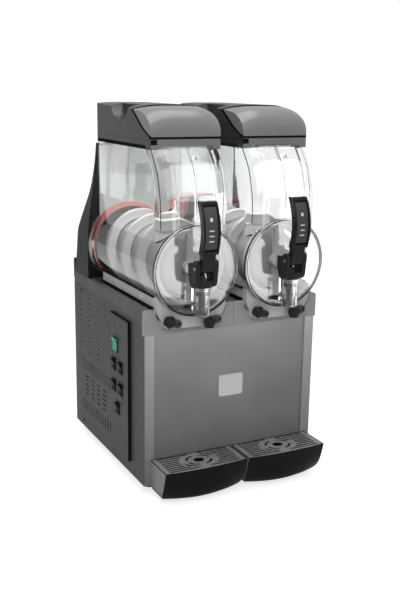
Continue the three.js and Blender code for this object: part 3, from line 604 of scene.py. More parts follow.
def top_deck():
    """Two troughs between three rails, and a hollow shelf for the rear housing."""
    half, rail, floor = BODY_HALF, 12, DECK_UNDER + 4
    outline = filleted(
        [(-half, DECK_UNDER), (half, DECK_UNDER), (half, DECK_TOP), (half - rail, DECK_TOP), (half - rail, floor),
         (10, floor), (10, DECK_TOP), (-10, DECK_TOP), (-10, floor), (-half + rail, floor),
         (-half + rail, DECK_TOP), (-half, DECK_TOP)],
        [1, 1, 2.5, 1.5, 2, 2, 2.5, 2.5, 2, 2, 1.5, 2.5])
    troughs = plate("Y", outline, 4.3, 317, edge=0.3)
    shelf = block(-half, half, 316, BODY_DEPTH, DECK_UNDER, DECK_TOP, 1.2)
    hollow = block(-half + 4, half - 4, 321, BODY_DEPTH - 4, DECK_UNDER - 1, DECK_TOP - 4, 0)
    return cut(union(troughs, shelf), hollow)


def apron(side):
    """Half of the front trim: a moulded plate with a stepped scallop round the bowl's foot."""
    x = STATION["left"]
    corners = [(-APRON_HALF, APRON_BOTTOM), (-GAP / 2, APRON_BOTTOM), (-GAP / 2, DECK_TOP), (-APRON_HALF, DECK_TOP)]
    body = plate("Y", filleted(corners, [1.5, 0.6, 0.6, 7], 6), 0, 4, edge=0.5, steps=2)

    def scallop(radius, depth):
        round_part = revolved("Y", [(0, -1), (radius, -1), (radius + 0.001, depth), (0, depth)], 128)
        room = block(-120, 120, -2, depth + 1, APRON_BOTTOM + 8 - SCALLOP_Z, 60, 0)
        return moved(common(round_part, room), x, 0, SCALLOP_Z)

    mesh = cut(body, scallop(88, 1), scallop(84.5, 2.2), scallop(81, 9))
    return sided(mesh, side)


HOUSING_SLICES = [
    (388.3, 197, 414), (426, 197, 400), (486, 196, 390), (511, 194, 378),
    (545, 190, 358), (588, 183, 338), (640, 177, 328), (HOUSING_TOP, 174, 323),
]


def rear_housing():
    """Tower behind the bowls, tapering to the hoppers, with a seat for each drum and a lip at its foot."""
    line = smooth_line(HOUSING_SLICES, 5)
    front = HOUSING_FRONT
    outer = lofted([level_ring(half, front, back, z, 1.5, 5, 5) for z, half, back in line])
    low_part = [p for p in line if p[0] < 600]
    inner = lofted([level_ring(half - 3, front + 3, back - 3, z, 1, 3, 3)
                    for z, half, back in [(380, 197, 414), *low_part[1:]]])
    low, high = box_mm("rear_housing")
    lip = block(-196, 196, 408, high.y, low.z, 418, 2.5, 3)
    room = block(-BODY_HALF - 1, BODY_HALF + 1, 300, BODY_DEPTH + GAP, 300, DECK_TOP + GAP, 0)
    bores = [moved(on_axis(rod("Y", 9, 290, 330, 0.2)), x) for x in STATION.values()]
    seats = [moved(on_axis(revolved("Y", [(20, 298), (84, 298), (84, 318), (20, 318)])), x)
             for x in STATION.values()]
    return cut(union(cut(union(outer, lip), inner), *seats), room, *bores)


def rounded_box(low, high, radius, steps=4, inset=0.0):
    """The outline in (x, z) of a node's box, with rounded corners."""
    return filleted(rectangle(low.x + inset, high.x - inset, low.z + inset, high.z - inset), radius, steps)


def light_panel():
    """Pale panel on the tower's front, cut away round the drums' seats."""
    low, high = box_mm("light_panel")
    panel = plate("Y", rounded_box(low, high, 3), low.y, high.y, edge=0.3)
    return cut(panel, *[moved(barrel(85, 310, 320), x) for x in STATION.values()])


def badge_plate():
    low, high = box_mm("badge_plate")
    body = plate("Y", rounded_box(low, high, 6, 8), low.y, high.y, edge=0.5, steps=3)
    return cut(body, plate("Y", rounded_box(low, high, 4, 6, 3), low.y - 1, low.y + 0.5, edge=0.1))


def foot(x, y):
    profile = [(0, 0), (14, 0), (15.6, 0.8), (16.4, 2.4), (17, 5), (16.2, 6), (16.6, 8), (17.6, 18.4),
               (17, 19.7), (0, 19.7)]
    return moved(revolved("Z", profile, 48), x, y, 0)


def add_cabinet():
    for name, side in SIDES.items():
        panel, screws = side_panel(side)
        add(f"side_panel_{name}_sheet", panel, "black_paint", [f"side_panel_{name}"])
        add(f"side_screws_{name}", screws, "black_plastic", slot="black_paint")
        # A dark sheet just inside the vents: painted shade for the cabinet's inside seen through them.
        shade_sheet = block(side * SHADE_SHEET_X - 0.5, side * SHADE_SHEET_X + 0.5, 182, 392, 58, 350, 0)
        add(f"vent_shade_sheet_{name}", shade_sheet, "painted_shade_black", slot="black_plastic")
        add(f"apron_{name}_trim", apron(side), "grey_trim", [f"apron_{name}"])
        for node in (f"foot_front_{name}", f"foot_rear_{name}"):
            low, high = box_mm(node)
            centre = (low + high) / 2
            add(f"{node}_rubber", foot(centre.x, centre.y), "black_rubber", [node])
    front = plate("Y", PANEL_OUTLINE, PANEL_RECESS, PANEL_RECESS + SHEET, edge=0.3)
    for name, mesh, look, node, slot in (
            # The front sheet takes the darker copy of the black paint: painted shade.
            ("front_panel_sheet", front, "panel_paint_shaded", "front_panel", "black_paint"),
            ("back_panel_sheet", back_panel(), "black_paint", "back_panel", "black_paint"),
            ("top_deck_moulding", top_deck(), "deck_paint", "top_deck", "black_paint"),
            ("rear_housing_shell", rear_housing(), "housing_plastic", "rear_housing", "black_plastic"),
            # The panel's faint glow is painted light.
            ("glowing_back_panel", light_panel(), "lit_panel", "light_panel", "white_plastic"),
            ("badge_blank", badge_plate(), "badge_metal", "badge_plate", None)):
        add(name, mesh, look, [node], slot)


# ---- control side ----

ROCKERS = ["power_rocker", "mode_rocker_left", "mode_rocker_right", "mixer_rocker_left", "mixer_rocker_right",
           "light_rocker"]
ROCKER_TILT = 8
PLATE_OUT = 6
PIVOT_X = -BODY_HALF - GAP - PLATE_OUT


def rocker_size(name):
    """Middle and half sizes of a rocker in (y, z)."""
    low, high = box_mm(name)
    half_height = 14 if name == "power_rocker" else 12
    return (low.y + high.y) / 2, (low.z + high.z) / 2, (high.y - low.y) / 2, half_height


def control_plate():
    """Face plate, a black box behind it whose edges paint the shade round the plate, and a bezel round each switch."""
    low, high = box_mm("control_plate")
    openings, bezels = [], []
    for name in ROCKERS:
        y, z, half_y, half_z = rocker_size(name)
        hole = rectangle(y - half_y - 0.6, y + half_y + 0.6, z - half_z - 0.9, z + half_z + 0.9)
        frame_out = filleted(rectangle(y - half_y - 3, y + half_y + 3, z - half_z - 3.5, z + half_z + 3.5), 2)
        openings.append(hole)
        bezels.append(plate("X", frame_out, PIVOT_X - 1.5, PIVOT_X + 0.6, [hole], 0.5, 2))
    inner = filleted(rectangle(low.y + 1.6, high.y, low.z, high.z - 1.8), 1)
    sheet = plate("X", inner, PIVOT_X, PIVOT_X + 1.3, openings, 0.2)
    # The black box's outline: its edges paint the shade round the raised plate.
    seal = filleted(rectangle(low.y, high.y, low.z, high.z), 1.5)
    return sheet, plate("X", seal, PIVOT_X + 0.5, high.x, openings, 0.3), together(*bezels)


def rocker(name):
    """A dished rocker, tipped to its off side, with a raised dot at one end."""
    y, z, half_y, half_z = rocker_size(name)
    tip = half_z - 0.6
    face = [(-5 + 2.4 * math.cos(math.pi / 2 * t / 6) ** 2, tip * t / 6 * 0.97) for t in range(-6, 7)]
    outline = [(3, half_z - 4), (3, -half_z + 4), (-1.5, -tip), *face, (-1.5, tip)]
    body = plate("Y", outline, -half_y, half_y, edge=0.6, steps=2)
    bar = block(-4.9, -3.4, -0.7, 0.7, tip * 0.42, tip * 0.75, 0.2, 1)
    ring = moved(revolved("X", [(1.3, -4.6), (2.1, -4.6), (2.1, -3), (1.3, -3)], 32), 0, 0, -tip * 0.6)
    mesh = together(body, bar, ring)
    return moved(spun(mesh, -ROCKER_TILT, "Y"), PIVOT_X, y, z)


def power_inlet():
    """Mains inlet: a flanged socket with three blades and two screws."""
    def outline(half_x, half_z, radius):
        return filleted(rectangle(-half_x, half_x, -half_z, half_z), radius)

    flange = plate("Y", outline(29, 19, 4), GAP, 2.5, edge=0.5, steps=2)
    sleeve = plate("Y", outline(23, 13, 3), -22, 1, edge=0.2)
    recess = plate("Y", filleted([(-19, -9), (19, -9), (19, 3), (12, 9), (-12, 9), (-19, 3)], 1.5), -16, 3, edge=0.1)
    pins = [block(x - 1, x + 1, -17, -3, z - 3.2, z + 3.2, 0.4) for x, z in ((-7, -2), (0, 2.5), (7, -2))]
    screws = [screw("Y", (x, 2.3, 0), 2.8, 1.4, 1) for x in (-25.5, 25.5)]
    parts = cut(union(flange, sleeve), recess), together(*pins), together(*screws)
    return [moved(part, INLET_X, BODY_DEPTH, INLET_Z) for part in parts]


def add_controls():
    sheet, gasket, bezels = control_plate()
    add("control_plate_face", sheet, "black_paint", ["control_plate"])
    add("control_plate_box", gasket, "painted_shade_black", ["control_plate"], "black_plastic")
    add("switch_bezels", bezels, "gloss_black")
    for name in ROCKERS:
        look, slot = ("green_lens",) * 2 if name == "power_rocker" else ("switch_black", "gloss_black")
        add(f"{name}_cap", rocker(name), look, [name], slot, name)
    body, pins, screws = power_inlet()
    add("inlet_body", body, "black_plastic", ["power_inlet"])
    add("inlet_blades", pins, "stainless_steel")
    add("inlet_screws", screws, "stainless_steel")


# ---- bowls ----

HOPPER_LINE = [(470, -29.5), (530, -29.6), (590, -29), (622, -22), (659, -8), (HOPPER_TOP, 23)]
DISC_FRONT, DISC_BACK = BOWL_FRONT + 4, BOWL_FRONT + 7.5
COLLAR_FRONT = 296
WALL = 3.5


def hopper(inset, first, rise=0.0):
    """The hopper's body, drawn in by a wall thickness, its front no further forward than first."""
    line = smooth_line(HOPPER_LINE, 4)
    line[-1] = (HOPPER_TOP + rise, HOPPER_LINE[-1][1])
    return lofted([
        level_ring(HOPPER_HALF - inset, max(front + inset, first), BOWL_REAR - inset, z,
                   36 if inset else 28, 8 - inset)
        for z, front in line])


def barrel(radius, low, high, rim=0.0):
    """A cylinder along Y about the drum's axis, with a rounded front rim."""
    front = [(radius - rim + rim * math.sin(a), low + rim - rim * math.cos(a)) for a in QUARTER] if rim else [
        (radius, low)]
    return on_axis(revolved("Y", [(0, low), *front, (radius, high), (0, high)], 128))


def spout():
    profile = [(0, 381), (14.6, 381), (16, 382.4), (16.3, 405), (17.6, 405.8), (17.6, 407.4), (16.3, 408.2),
               (16.5, 445.5), (16, 446), (0, 446)]
    return on_spout(revolved("Z", profile, 64))


def bowl_shell():
    """Clear bowl: a barrel with a raised front rim, a hopper above it and a spout tube in front."""
    solid = union(
        barrel(BOWL_RADIUS, BOWL_FRONT, BOWL_REAR, 2.4), barrel(COLLAR_RADIUS, COLLAR_FRONT, BOWL_REAR, 1.2),
        hopper(0, BOWL_FRONT))
    shell = cut(
        solid, barrel(BOWL_RADIUS - 5.5, BOWL_FRONT - 2, DISC_FRONT), hopper(WALL, DISC_BACK, 2),
        barrel(BOWL_RADIUS - WALL, DISC_BACK, COLLAR_FRONT + 1), barrel(92.8, COLLAR_FRONT, BOWL_REAR + 1))
    neck = block(-9, 9, SPOUT_Y + 10, DISC_FRONT + 1, 386, 440, 1.5)
    inside = [(max(y + WALL - 0.6, DISC_BACK - 0.6), z) for z, y in smooth_line(HOPPER_LINE, 4) if z > 560]
    rib = plate("X", [*inside, *[(y + 5, z) for y, z in reversed(inside)]], -1.6, 1.6, edge=0.4)
    boss = moved(rod("Y", 4.5, 6, 16, 1), 14, 0, 676)
    bore = on_spout(rod("Z", 13, 380, 447, 0.2, 64))
    port = moved(rod("Y", 6, SPOUT_Y, DISC_BACK + 1, 0.2, 32), 0, 0, 398)
    return cut(union(shell, spout(), neck, rib, boss), bore, port)


def painted_glass_edges():
    """Dark wires in the clear wall standing in for its dark refraction and reflection lines: painted shade along the
    hopper's front corners, its rib and the disc's rim.
    """
    line = [(y, z) for z, y in smooth_line(HOPPER_LINE, 4)]
    lines = []
    for side in (-1, 1):
        lines.append(wire([(side * (HOPPER_HALF - 3.8), y + 15.4, z) for y, z in line if z > 545], 1))
        lines.append(wire([(side * 1.9, y + 4.6, z) for y, z in line if z > 562], 0.5))
    for radius, y, thick in ((BOWL_RADIUS - 4.7, BOWL_FRONT + 2.2, 0.8), (BOWL_RADIUS - 1, BOWL_FRONT + 6, 0.6)):
        lines.append(wire([(u, y, v) for u, v in circle(0, AXIS_Z, radius, 96)], thick, True))
    return together(*lines)


def foot_outline(half, radius, lowest, low, high):
    """Outline of the foot's front: straight sides and an arc that follows the trim's scallop."""
    turn = math.degrees(math.acos(half / radius))
    dip = arc(0, SCALLOP_Z, radius, 180 + turn, 360 - turn, 40)
    body = plate("Y", [(-half, AXIS_Z), *dip, (half, AXIS_Z)], low, high, edge=0.5)
    return common(body, block(-half, half, -20, 20, lowest, AXIS_Z, 0))


def bowl_foot():
    """Skirt under the bowl: walls in the deck's trough and a cupped front in the trim's scallop."""
    half, wall, back = 75, 3, 285
    lowest = APRON_BOTTOM + 11
    cup = cut(foot_outline(half, 78, lowest, -10, 5),
              foot_outline(half - wall, 78 - wall, lowest + wall, -6.5, 9))
    walls = cut(block(-half, half, 4.3, back, DECK_UNDER + 4 + GAP, AXIS_Z, 0.8),
                block(-half + wall, half - wall, 3, back - wall, DECK_UNDER, AXIS_Z + 1, 0))
    middle = block(-0.8, 0.8, -9, -7, lowest + 1, 400, 0.3)
    return cut(union(cup, walls, middle), barrel(BOWL_RADIUS + 0.2, BOWL_FRONT - 1, BOWL_REAR + 2),
               on_spout(rod("Z", 17.2, 370, 450, 0.2)))


def painted_foot_shade():
    """Dark bars along the joint between the barrel and its foot, painted shade and reflection there, and dark strips
    painting the shadow in the deck's trough.
    """
    bars = [wire([(side * 76.5, 6, 413), (side * 76.5, 284, 413)], 2.2) for side in (-1, 1)]
    strips = [block(side * 75.8 - 0.8, side * 75.8 + 0.8, 6, 285, 384, 391.5, 0.3) for side in (-1, 1)]
    return together(*bars, *strips)


def helix(start, end, turns, steps, section):
    """A section of (radius, offset) points swept round the drum's axis from start to end."""
    count = round(turns * steps)
    rings = []
    for i in range(count + 1):
        angle = 2 * math.pi * i / steps
        y = start + (end - start) * i / count
        rings.append([(r * math.sin(angle), y + dy, r * math.cos(angle)) for r, dy in section])
    return lofted(rings)


def auger():
    """Helical blade with rounded edges, a ring at its front and a hub on two arms."""
    section = [(66, -3.4), (66.6, -4.2), (76, -4.6), (84, -6), (85.6, -4.6), (AUGER_RADIUS, -2), (AUGER_RADIUS, 2),
               (85.6, 4.6), (84, 6), (76, 4.6), (66.6, 4.2), (66, 3.4)]
    blade = helix(6, 284, 3.5, 56, section)
    ring = revolved("Y", [(66, 1.6), (66.6, 1), (73.4, 1), (74, 1.6), (74, 10.4), (73.4, 11), (66.6, 11), (66, 10.4)])
    hub = rod("Y", 15, -4, 11, 2)
    arms = [block(-8, 8, 1, 11, z0, z1, 1.5) for z0, z1 in ((8, 70), (-70, -8))]
    mesh = cut(union(blade, ring, hub, *arms), rod("Y", 7.8, -1, 13, 0.1))
    return on_axis(mesh)


def drum():
    """Domed steel evaporator drum, open at the back, with a tube for the shaft."""
    back = COLLAR_FRONT + 2 - GAP
    tube = 9
    dome = [(30, 14), (40, 14.8), (48, 16.6), (54, 19.4), (58.5, 23.2), (61, 27), (DRUM_RADIUS, 31)]
    profile = [(tube, back), (tube, 13), *dome, (DRUM_RADIUS, back), (DRUM_RADIUS - 2, back), (DRUM_RADIUS - 2, 33),
               (56, 25), (46, 19.5), (30, 17), (tube + 2, 17), (tube + 2, back)]
    return on_axis(revolved("Y", profile, 128))


def gasket():
    profile = [(84.3, 292.5), (85, 291.5), (87, 291.5), (87.7, 292.5), (87.7, 299), (91, 299), (92.5, 300.5),
               (92.5, 311.5), (91, 313), (85.5, 313), (84.3, 311.5)]
    return on_axis(revolved("Y", profile, 128))


def gearmotor():
    """Gearbox with cast ribs and screws, and its motor behind."""
    case = block(-36, 36, 330, 352, AXIS_Z - 42, AXIS_Z + 36, 2.5, 3)
    motor = moved(rod("Y", 28, 351, 383, 2), 0, 0, AXIS_Z - 8)
    bore = on_axis(rod("Y", 7.8, 329, 340, 0.1))
    grooves = [block(-30, 30, 338, 353, AXIS_Z + z, AXIS_Z + z + 3, 0) for z in (24, 30)]
    return cut(union(case, motor), bore, *grooves)


# ---- taps ----


def pin_hole():
    return moved(rod("X", 3.3, -30, 30, 0.1), *TAP_PIVOT)


def tap_body():
    """Cup on top of the spout with two cheeks for the handle's pin."""
    cheek_line = [*arc(-57, 452, 14, 180, 320, 10), (-38, 462), (-38, 484), *arc(-66, 484, 9, 20, 180, 10)]
    cheeks = [plate("X", cheek_line, low, high, edge=0.9, steps=2) for low, high in ((-23.5, -14.5), (14.5, 23.5))]
    bridge = block(-20, 20, -70, -36, 446.3, 452, 0.5)
    collar = on_spout(revolved("Z", [(0, 438), (17.8, 438), (19, 438.8), (19.8, 441), (21, 452), (0, 452)], 64))
    brow = on_spout(revolved("Z", [(17.5, 451), (21, 451), (21.4, 463), (20.6, 464), (18.2, 464), (17.5, 463)], 64))
    notch = block(-3.5, 14, -80, -60, 452.3, 470, 0)
    brow = cut(brow, notch, block(-30, 30, SPOUT_Y - 8, -20, 440, 470, 0))
    tools = [
        on_spout(rod("Z", 17.1, 430, 446.3, 0.1, 64)), on_spout(rod("Z", 5.2, 440, 460, 0.1)),
        pin_hole(), block(-30, 30, -38, -20, 430, 500, 0)]
    return cut(union(*cheeks, bridge, collar, brow), *tools)


HANDLE_POINTS = [(-84, 505), (-90.6, 530), (-91.5, 553), (-86, 580), (-74, 604)]
HANDLE_FRONT = smooth_line(HANDLE_POINTS, 6)
HANDLE_FINE = smooth_line(HANDLE_POINTS, 60)
HANDLE_BACK = smooth_line([(-60, 604), (-71, 580), (-77, 553), (-76, 530), (-68, 505)], 6)
# Each mark on the handle: its lowest and highest point and half its width.
HANDLE_MARKS = [(568, 575, 2.6), (550, 552.5, 5), (540, 542.5, 5), (530, 532.5, 5)]


def recess_line(depth, low, high, line=HANDLE_FRONT):
    """The handle's front line set back by a depth, between two heights."""
    return [(y + depth, z) for y, z in line if low <= z <= high]


def tap_handle():
    """Bowed paddle with a raised rim, and its tongue and prongs; and the pale inlay in its front."""
    corners = [2.5, *[0] * (len(HANDLE_FRONT) - 2), 2.5]
    paddle = plate("X", filleted([*HANDLE_FRONT, *HANDLE_BACK], corners * 2), -18, 18, edge=1.1, steps=3)
    floor = recess_line(3.4, 510, 598)
    sunk = plate("X", [(-110, floor[0][1]), *floor, (-110, floor[-1][1])], -14, 14, edge=0.2)
    tongue = plate("X", [*arc(TAP_PIVOT.y, TAP_PIVOT.z, 9, 180, 360, 16), (-63.5, 484), (-66, 507), (-82, 507),
                         (-80, 494)], -13.5, 13.5, edge=0.8, steps=2)
    prongs = [block(low, high, TAP_PIVOT.y, -45, 476, 483, 0.8) for low, high in ((-13.5, -6.5), (6.5, 13.5))]
    body = cut(union(cut(paddle, sunk), tongue, *prongs), pin_hole())
    over, under = recess_line(2.4, 512, 596), recess_line(3.2, 512, 596)
    inlay = plate("X", [*over, *reversed(under)], -13, 13, edge=0.15)
    marks = []
    for low, high, half in HANDLE_MARKS:
        over, under = (recess_line(depth, low, high, HANDLE_FINE) for depth in (2.1, 3.6))
        marks.append(plate("X", [*over, *reversed(under)], -half, half, edge=0.1))
    return body, inlay, together(*marks)


def handle_pin():
    return moved(union(rod("X", 3, -24.5, 24.5, 0.4), rod("X", 5, 23.8, 25.8, 0.6)), *TAP_PIVOT)


def piston():
    seal = 12.7
    profile = [(0, 384), (seal - 1, 384), (seal, 385), (seal, 389), (seal - 1, 390), (7, 390), (7, 422),
               (seal - 0.6, 422), (seal, 422.8), (seal, 426.2), (seal - 0.6, 427), (4.5, 427), (4.5, 484), (9, 484),
               (10, 485), (10, 487), (9, 488), (0, 488)]
    return on_spout(revolved("Z", profile, 48))


SPRING_LOW, SPRING_HIGH = 428.3, 444.8


def spring():
    turns, steps = 4, 28
    count = turns * steps
    coil = [(9 * math.cos(2 * math.pi * i / steps), SPOUT_Y + 9 * math.sin(2 * math.pi * i / steps),
             SPRING_LOW + (SPRING_HIGH - SPRING_LOW) * i / count) for i in range(count + 1)]
    return wire(coil, 0.8)


def latch(x, z, tilt):
    """A lobed knob with a grip boss, and its hooked arm with a hole."""
    lobes = [arc(0, 0, 11 if i % 2 else 14, 36 * i, 0, 1)[0] for i in range(10)]
    knob = plate("Y", filleted(lobes, 3, 3), -24, -16.2, edge=1.2, steps=3)
    boss = revolved("Y", [(0, -26), (5.4, -26), (6.6, -25), (6.6, -23), (0, -23)], 40)
    arm_line = [*arc(0, 0, 9, 90, 270, 12), *arc(22, 0, 8, -90, 90, 12)]
    arm = plate("Y", arm_line, -16.6, -10.3, [circle(22, 0, 3.5, 24)], edge=0.7, steps=2)
    lip = moved(revolved("Y", [(3.6, -17.6), (5.6, -17.6), (6, -17), (6, -16), (3.6, -16)], 32), 22)
    return [moved(spun(part, tilt, "Y"), x, 0, z) for part in (union(knob, boss), union(arm, lip))]


# ---- lids ----

LID_HALF = HOPPER_HALF
LID_BACK = HOUSING_FRONT - 1
LID_MIDDLE = [(23, LID_LOW), (22, 713), (22.4, 728), (24, 739), (29, 751), (38, 761), (54, 769), (90, LID_HIGH)]
LID_SIDE = [(23, LID_LOW), (22, 713), (23, 725), (27, 735), (34, 744), (46, 752), (66, 760), (107, 765)]
VISOR_LINE = [(22, 714), (23, 717), (36, 721.5), (51.5, 728.1), (66.6, 736.8), (88, 751.2), (100.5, 759), (110, 764.7)]
LID_SIDE_BACK = 772
# Width of the dark band that paints the shade and dark reflection along the visor's line.
DARK_EDGE_WIDTH = 12


def lid_front(x, inset=0.0):
    """The lid's front line at x, from the base up over the visor, which falls away towards the sides."""
    fall = min(1.0, abs(x / LID_HALF)) ** 4
    blend = [(my + (sy - my) * fall + inset, mz + (sz - mz) * fall - inset)
             for (my, mz), (sy, sz) in zip(LID_MIDDLE, LID_SIDE)]
    return [(blend[0][0], LID_LOW + inset), *smooth_line(blend[1:], 4)]


def lid_shape(inset):
    """The lid's outer body, or the same drawn in by a wall."""
    half, back = LID_HALF - inset, LID_BACK - inset
    rings = []
    for step in range(41):
        x = -half * math.cos(math.pi * step / 40)
        top = LID_HIGH + (LID_SIDE_BACK - LID_HIGH) * abs(x / LID_HALF) ** 4 - inset
        rings.append([(x, y, z) for y, z in [*lid_front(x, inset), (back, top), (back, LID_LOW + inset)]])
    plan = [(x, y) for x, y, z in level_ring(half, 20 + inset, back, 0, 5 - inset, 6 - inset, 5)]
    return common(lofted(rings), plate("Z", plan, LID_LOW - 1, LID_HIGH + 1, edge=0.05))


def visor_region(grow):
    """The room in front of the visor's line, through the whole width, moved back by a gap, more so at the top."""
    line = [(y + grow, z) for y, z in smooth_line(VISOR_LINE, 3)]
    outline = [(0, LID_LOW - 1), (24, LID_LOW - 1), (24, 712), (line[0][0], 712), *line,
               (55 + 2.6 * grow, LID_HIGH + 2), (0, LID_HIGH + 2)]
    return plate("X", outline, -LID_HALF - 2, LID_HALF + 2, edge=0.02)


def lid():
    """Crowned shell with a scooped finger grip in each side and a lip that drops into the hopper."""
    scoop_line = smooth_line([(131, LID_HIGH + 3), (138, 764), (151, 750), (170, 743.5), (192, 742.5), (212, 750),
                              (226, 764), (234, LID_HIGH + 3)], 4)
    half = LID_HALF
    scoops = [plate("X", scoop_line, low, high, edge=0.2)
              for low, high in ((-half - 2, -half + 27), (half - 27, half + 2))]
    pockets = [block(low, high, 129, 237, 738, LID_HIGH + 2, 0)
               for low, high in ((-half - 1, -half + 30), (half - 30, half + 1))]
    mouth = block(-half + 4, half - 4, 30, 312, LID_LOW - 1, 706, 0)
    shell = cut(cut(lid_shape(0), *scoops), cut(union(lid_shape(3), mouth), *pockets))
    grooves = [block(side - 1, side + 1, 24, 313, 708.6, 709.8, 0) for side in (-half, half)]
    shell = cut(shell, *grooves, block(-half - 1, half + 1, 20, 23.2, 711, 712.2, 0),
                block(-half - 1, -half + 12.5, 20, 24.5, 701, 711, 0))
    visor = bevelled(common(shell, visor_region(0)), 0.6, 2, 40)
    # A dark band along the visor's line: painted shade and dark reflection where the visor meets the lid.
    dark_edge_band = cut(common(shell, visor_region(DARK_EDGE_WIDTH - 0.1)), visor_region(0.1))
    shell = bevelled(cut(shell, visor_region(DARK_EDGE_WIDTH)), 0.5, 2, 50)

    def ring(wide, front, back, front_radius, back_radius, low, high):
        flat = [(x, y) for x, y, z in level_ring(wide, front, back, 0, front_radius, back_radius)]
        return plate("Z", flat, low, high, edge=0.1)

    lip = cut(union(ring(half - 4.4, 30, 309, 22, 4, 692, 704.8), block(-half + 3.4, half - 3.4, 29, 313, 702, 705, 0)),
              ring(half - 7.4, 33, 306, 19, 2, 690, 708))
    # A dark block in the recess at the front corner: painted shade under the visor's overhang.
    corner = block(-half + 0.6, -half + 12, 22.6, 26, 701.4, 710.6, 0.4)
    return shell, visor, lip, together(dark_edge_band, corner)


def add_station(side):
    """Everything that each bowl has."""
    x = STATION[side]

    def place(name, mesh, look, node=None, slot=None, body=None, smooth=32):
        """Adds a piece; node and body are named without their side, and it rides on the cabinet by itself."""
        add(f"{name}_{side}", mesh, look, [f"{node}_{side}"] if node else [], slot,
            f"{body}_{side}" if body else "cabinet", x, smooth)

    handle, inlay, marks = tap_handle()
    cover, visor, lip, dark_edge_band = lid()
    shaft = on_axis(rod("Y", 7.5, -0.5, 326, 0.8))
    clip = block(-76.2, -74.8, 60, 74, 398, 402, 0.4)
    for row in (
            ("bowl_shell", bowl_shell(), "clear_plastic", "bowl"),
            # Dark wires painting the shade and reflection lines seen in the clear bowl.
            ("painted_glass_edges", painted_glass_edges(), "painted_edge_grey", None, "black_rubber"),
            # The foot's opaque grey paints the reflection on its clear skirt.
            ("bowl_foot", bowl_foot(), "foot_painted_reflection", "bowl", "clear_plastic"),
            # Dark bars and strips painting the shade along the bowl's foot.
            ("foot_shade_lines", painted_foot_shade(), "painted_shade_black", None, "black_rubber"),
            ("foot_clip", clip, "panel_white", None, "white_plastic"),
            ("drum", drum(), "drum_steel", "evaporator", "stainless_steel"),
            ("auger_blade", auger(), "white_plastic", "auger", None, "mixer"),
            ("shaft", shaft, "stainless_steel", "drive_shaft", None, "mixer"),
            ("seal", gasket(), "red_rubber", "gasket"),
            ("gearbox", gearmotor(), "grey_metal", "gearmotor"),
            ("tap_cup", tap_body(), "black_plastic", "tap_body"),
            ("handle_paddle", handle, "gloss_black", "tap_handle", None, "handle"),
            ("handle_inlay", inlay, "handle_inlay", None, "grey_trim", "handle"),
            ("handle_marks", marks, "panel_white", None, "white_plastic", "handle"),
            ("hinge_pin", handle_pin(), "stainless_steel", "handle_pin"),
            ("piston_rod", piston(), "black_plastic", "tap_piston", None, "piston")):
        place(*row)
    coil = add(f"return_spring_{side}", spring(), "stainless_steel", [f"tap_spring_{side}"], body=None, x=x)
    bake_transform(coil)
    for which, at in (("latch_outer", (-53, 366, 20)), ("latch_inner", (34, 356, -10))):
        knob, hook = latch(*at)
        place(f"{which}_knob", knob, "black_plastic", which, None, which)
        place(f"{which}_hook", hook, "latch_arm", which, "gloss_black", which)
    place("lid_cover", cover, "lid_plastic", "lid", None, "lid", 28)
    # The visor's paler grey paints the light and sheen on the lid's front.
    place("lid_visor", visor, "visor_painted_light", "lid", "lid_plastic", "lid", 28)
    place("lid_lip", lip, "lid_plastic", "lid", None, "lid")
    # The dark band and corner block paint the shade along the visor.
    place("lid_painted_edge", dark_edge_band, "painted_shade_black", None, "gloss_black", "lid")


# ---- drip trays ----

TRAY_TOP = box_mm("drip_tray_left")[1].z
TRAY_HALF = 91.5
TRAY_END, TRAY_MIDDLE = -77, -83
# The tray's levels: height, half its width, and its front at the ends and in the middle.
TRAY_LINE = [(6, 78, -38, -58), (7.6, 81.5, -42, -61.5), (12, 86, -50, -68), (19, 89, -56, -72.5), (28, 91, -61, -76),
             (38, 91.4, -66, -78.4), (50, TRAY_HALF, -70, -80), (64, TRAY_HALF, -74, -81.8),
             (TRAY_TOP, TRAY_HALF, TRAY_END, TRAY_MIDDLE)]
HOLE_Y = -38


def tray_ring(z, half, end, middle, back):
    """A level ring of the tray: straight back, square sides and a bowed front."""
    bow = [-1 + 2 * i / 40 for i in range(41)]
    return [(half, back, z), (-half, back, z),
            *[(t * half, end + (middle - end) * (1 - t * t), z) for t in bow]]


def drip_tray():
    wall, back = 2.5, -GAP
    outer = lofted([tray_ring(z, half, end, middle, back) for z, half, end, middle in TRAY_LINE])
    inner = lofted([
        tray_ring(z + (wall if i == 0 else 1.0 if i == len(TRAY_LINE) - 1 else 0), half - wall - 2, end + wall + 2,
                  middle + wall + 2, back - wall - 2)
        for i, (z, half, end, middle) in enumerate(TRAY_LINE)])
    seat = lofted([tray_ring(z, TRAY_HALF - wall, TRAY_END + wall, TRAY_MIDDLE + wall, back - wall)
                   for z in (TRAY_TOP - 4, TRAY_TOP + 1)])
    return bevelled(cut(outer, inner, seat), 1.0, 3, 35)


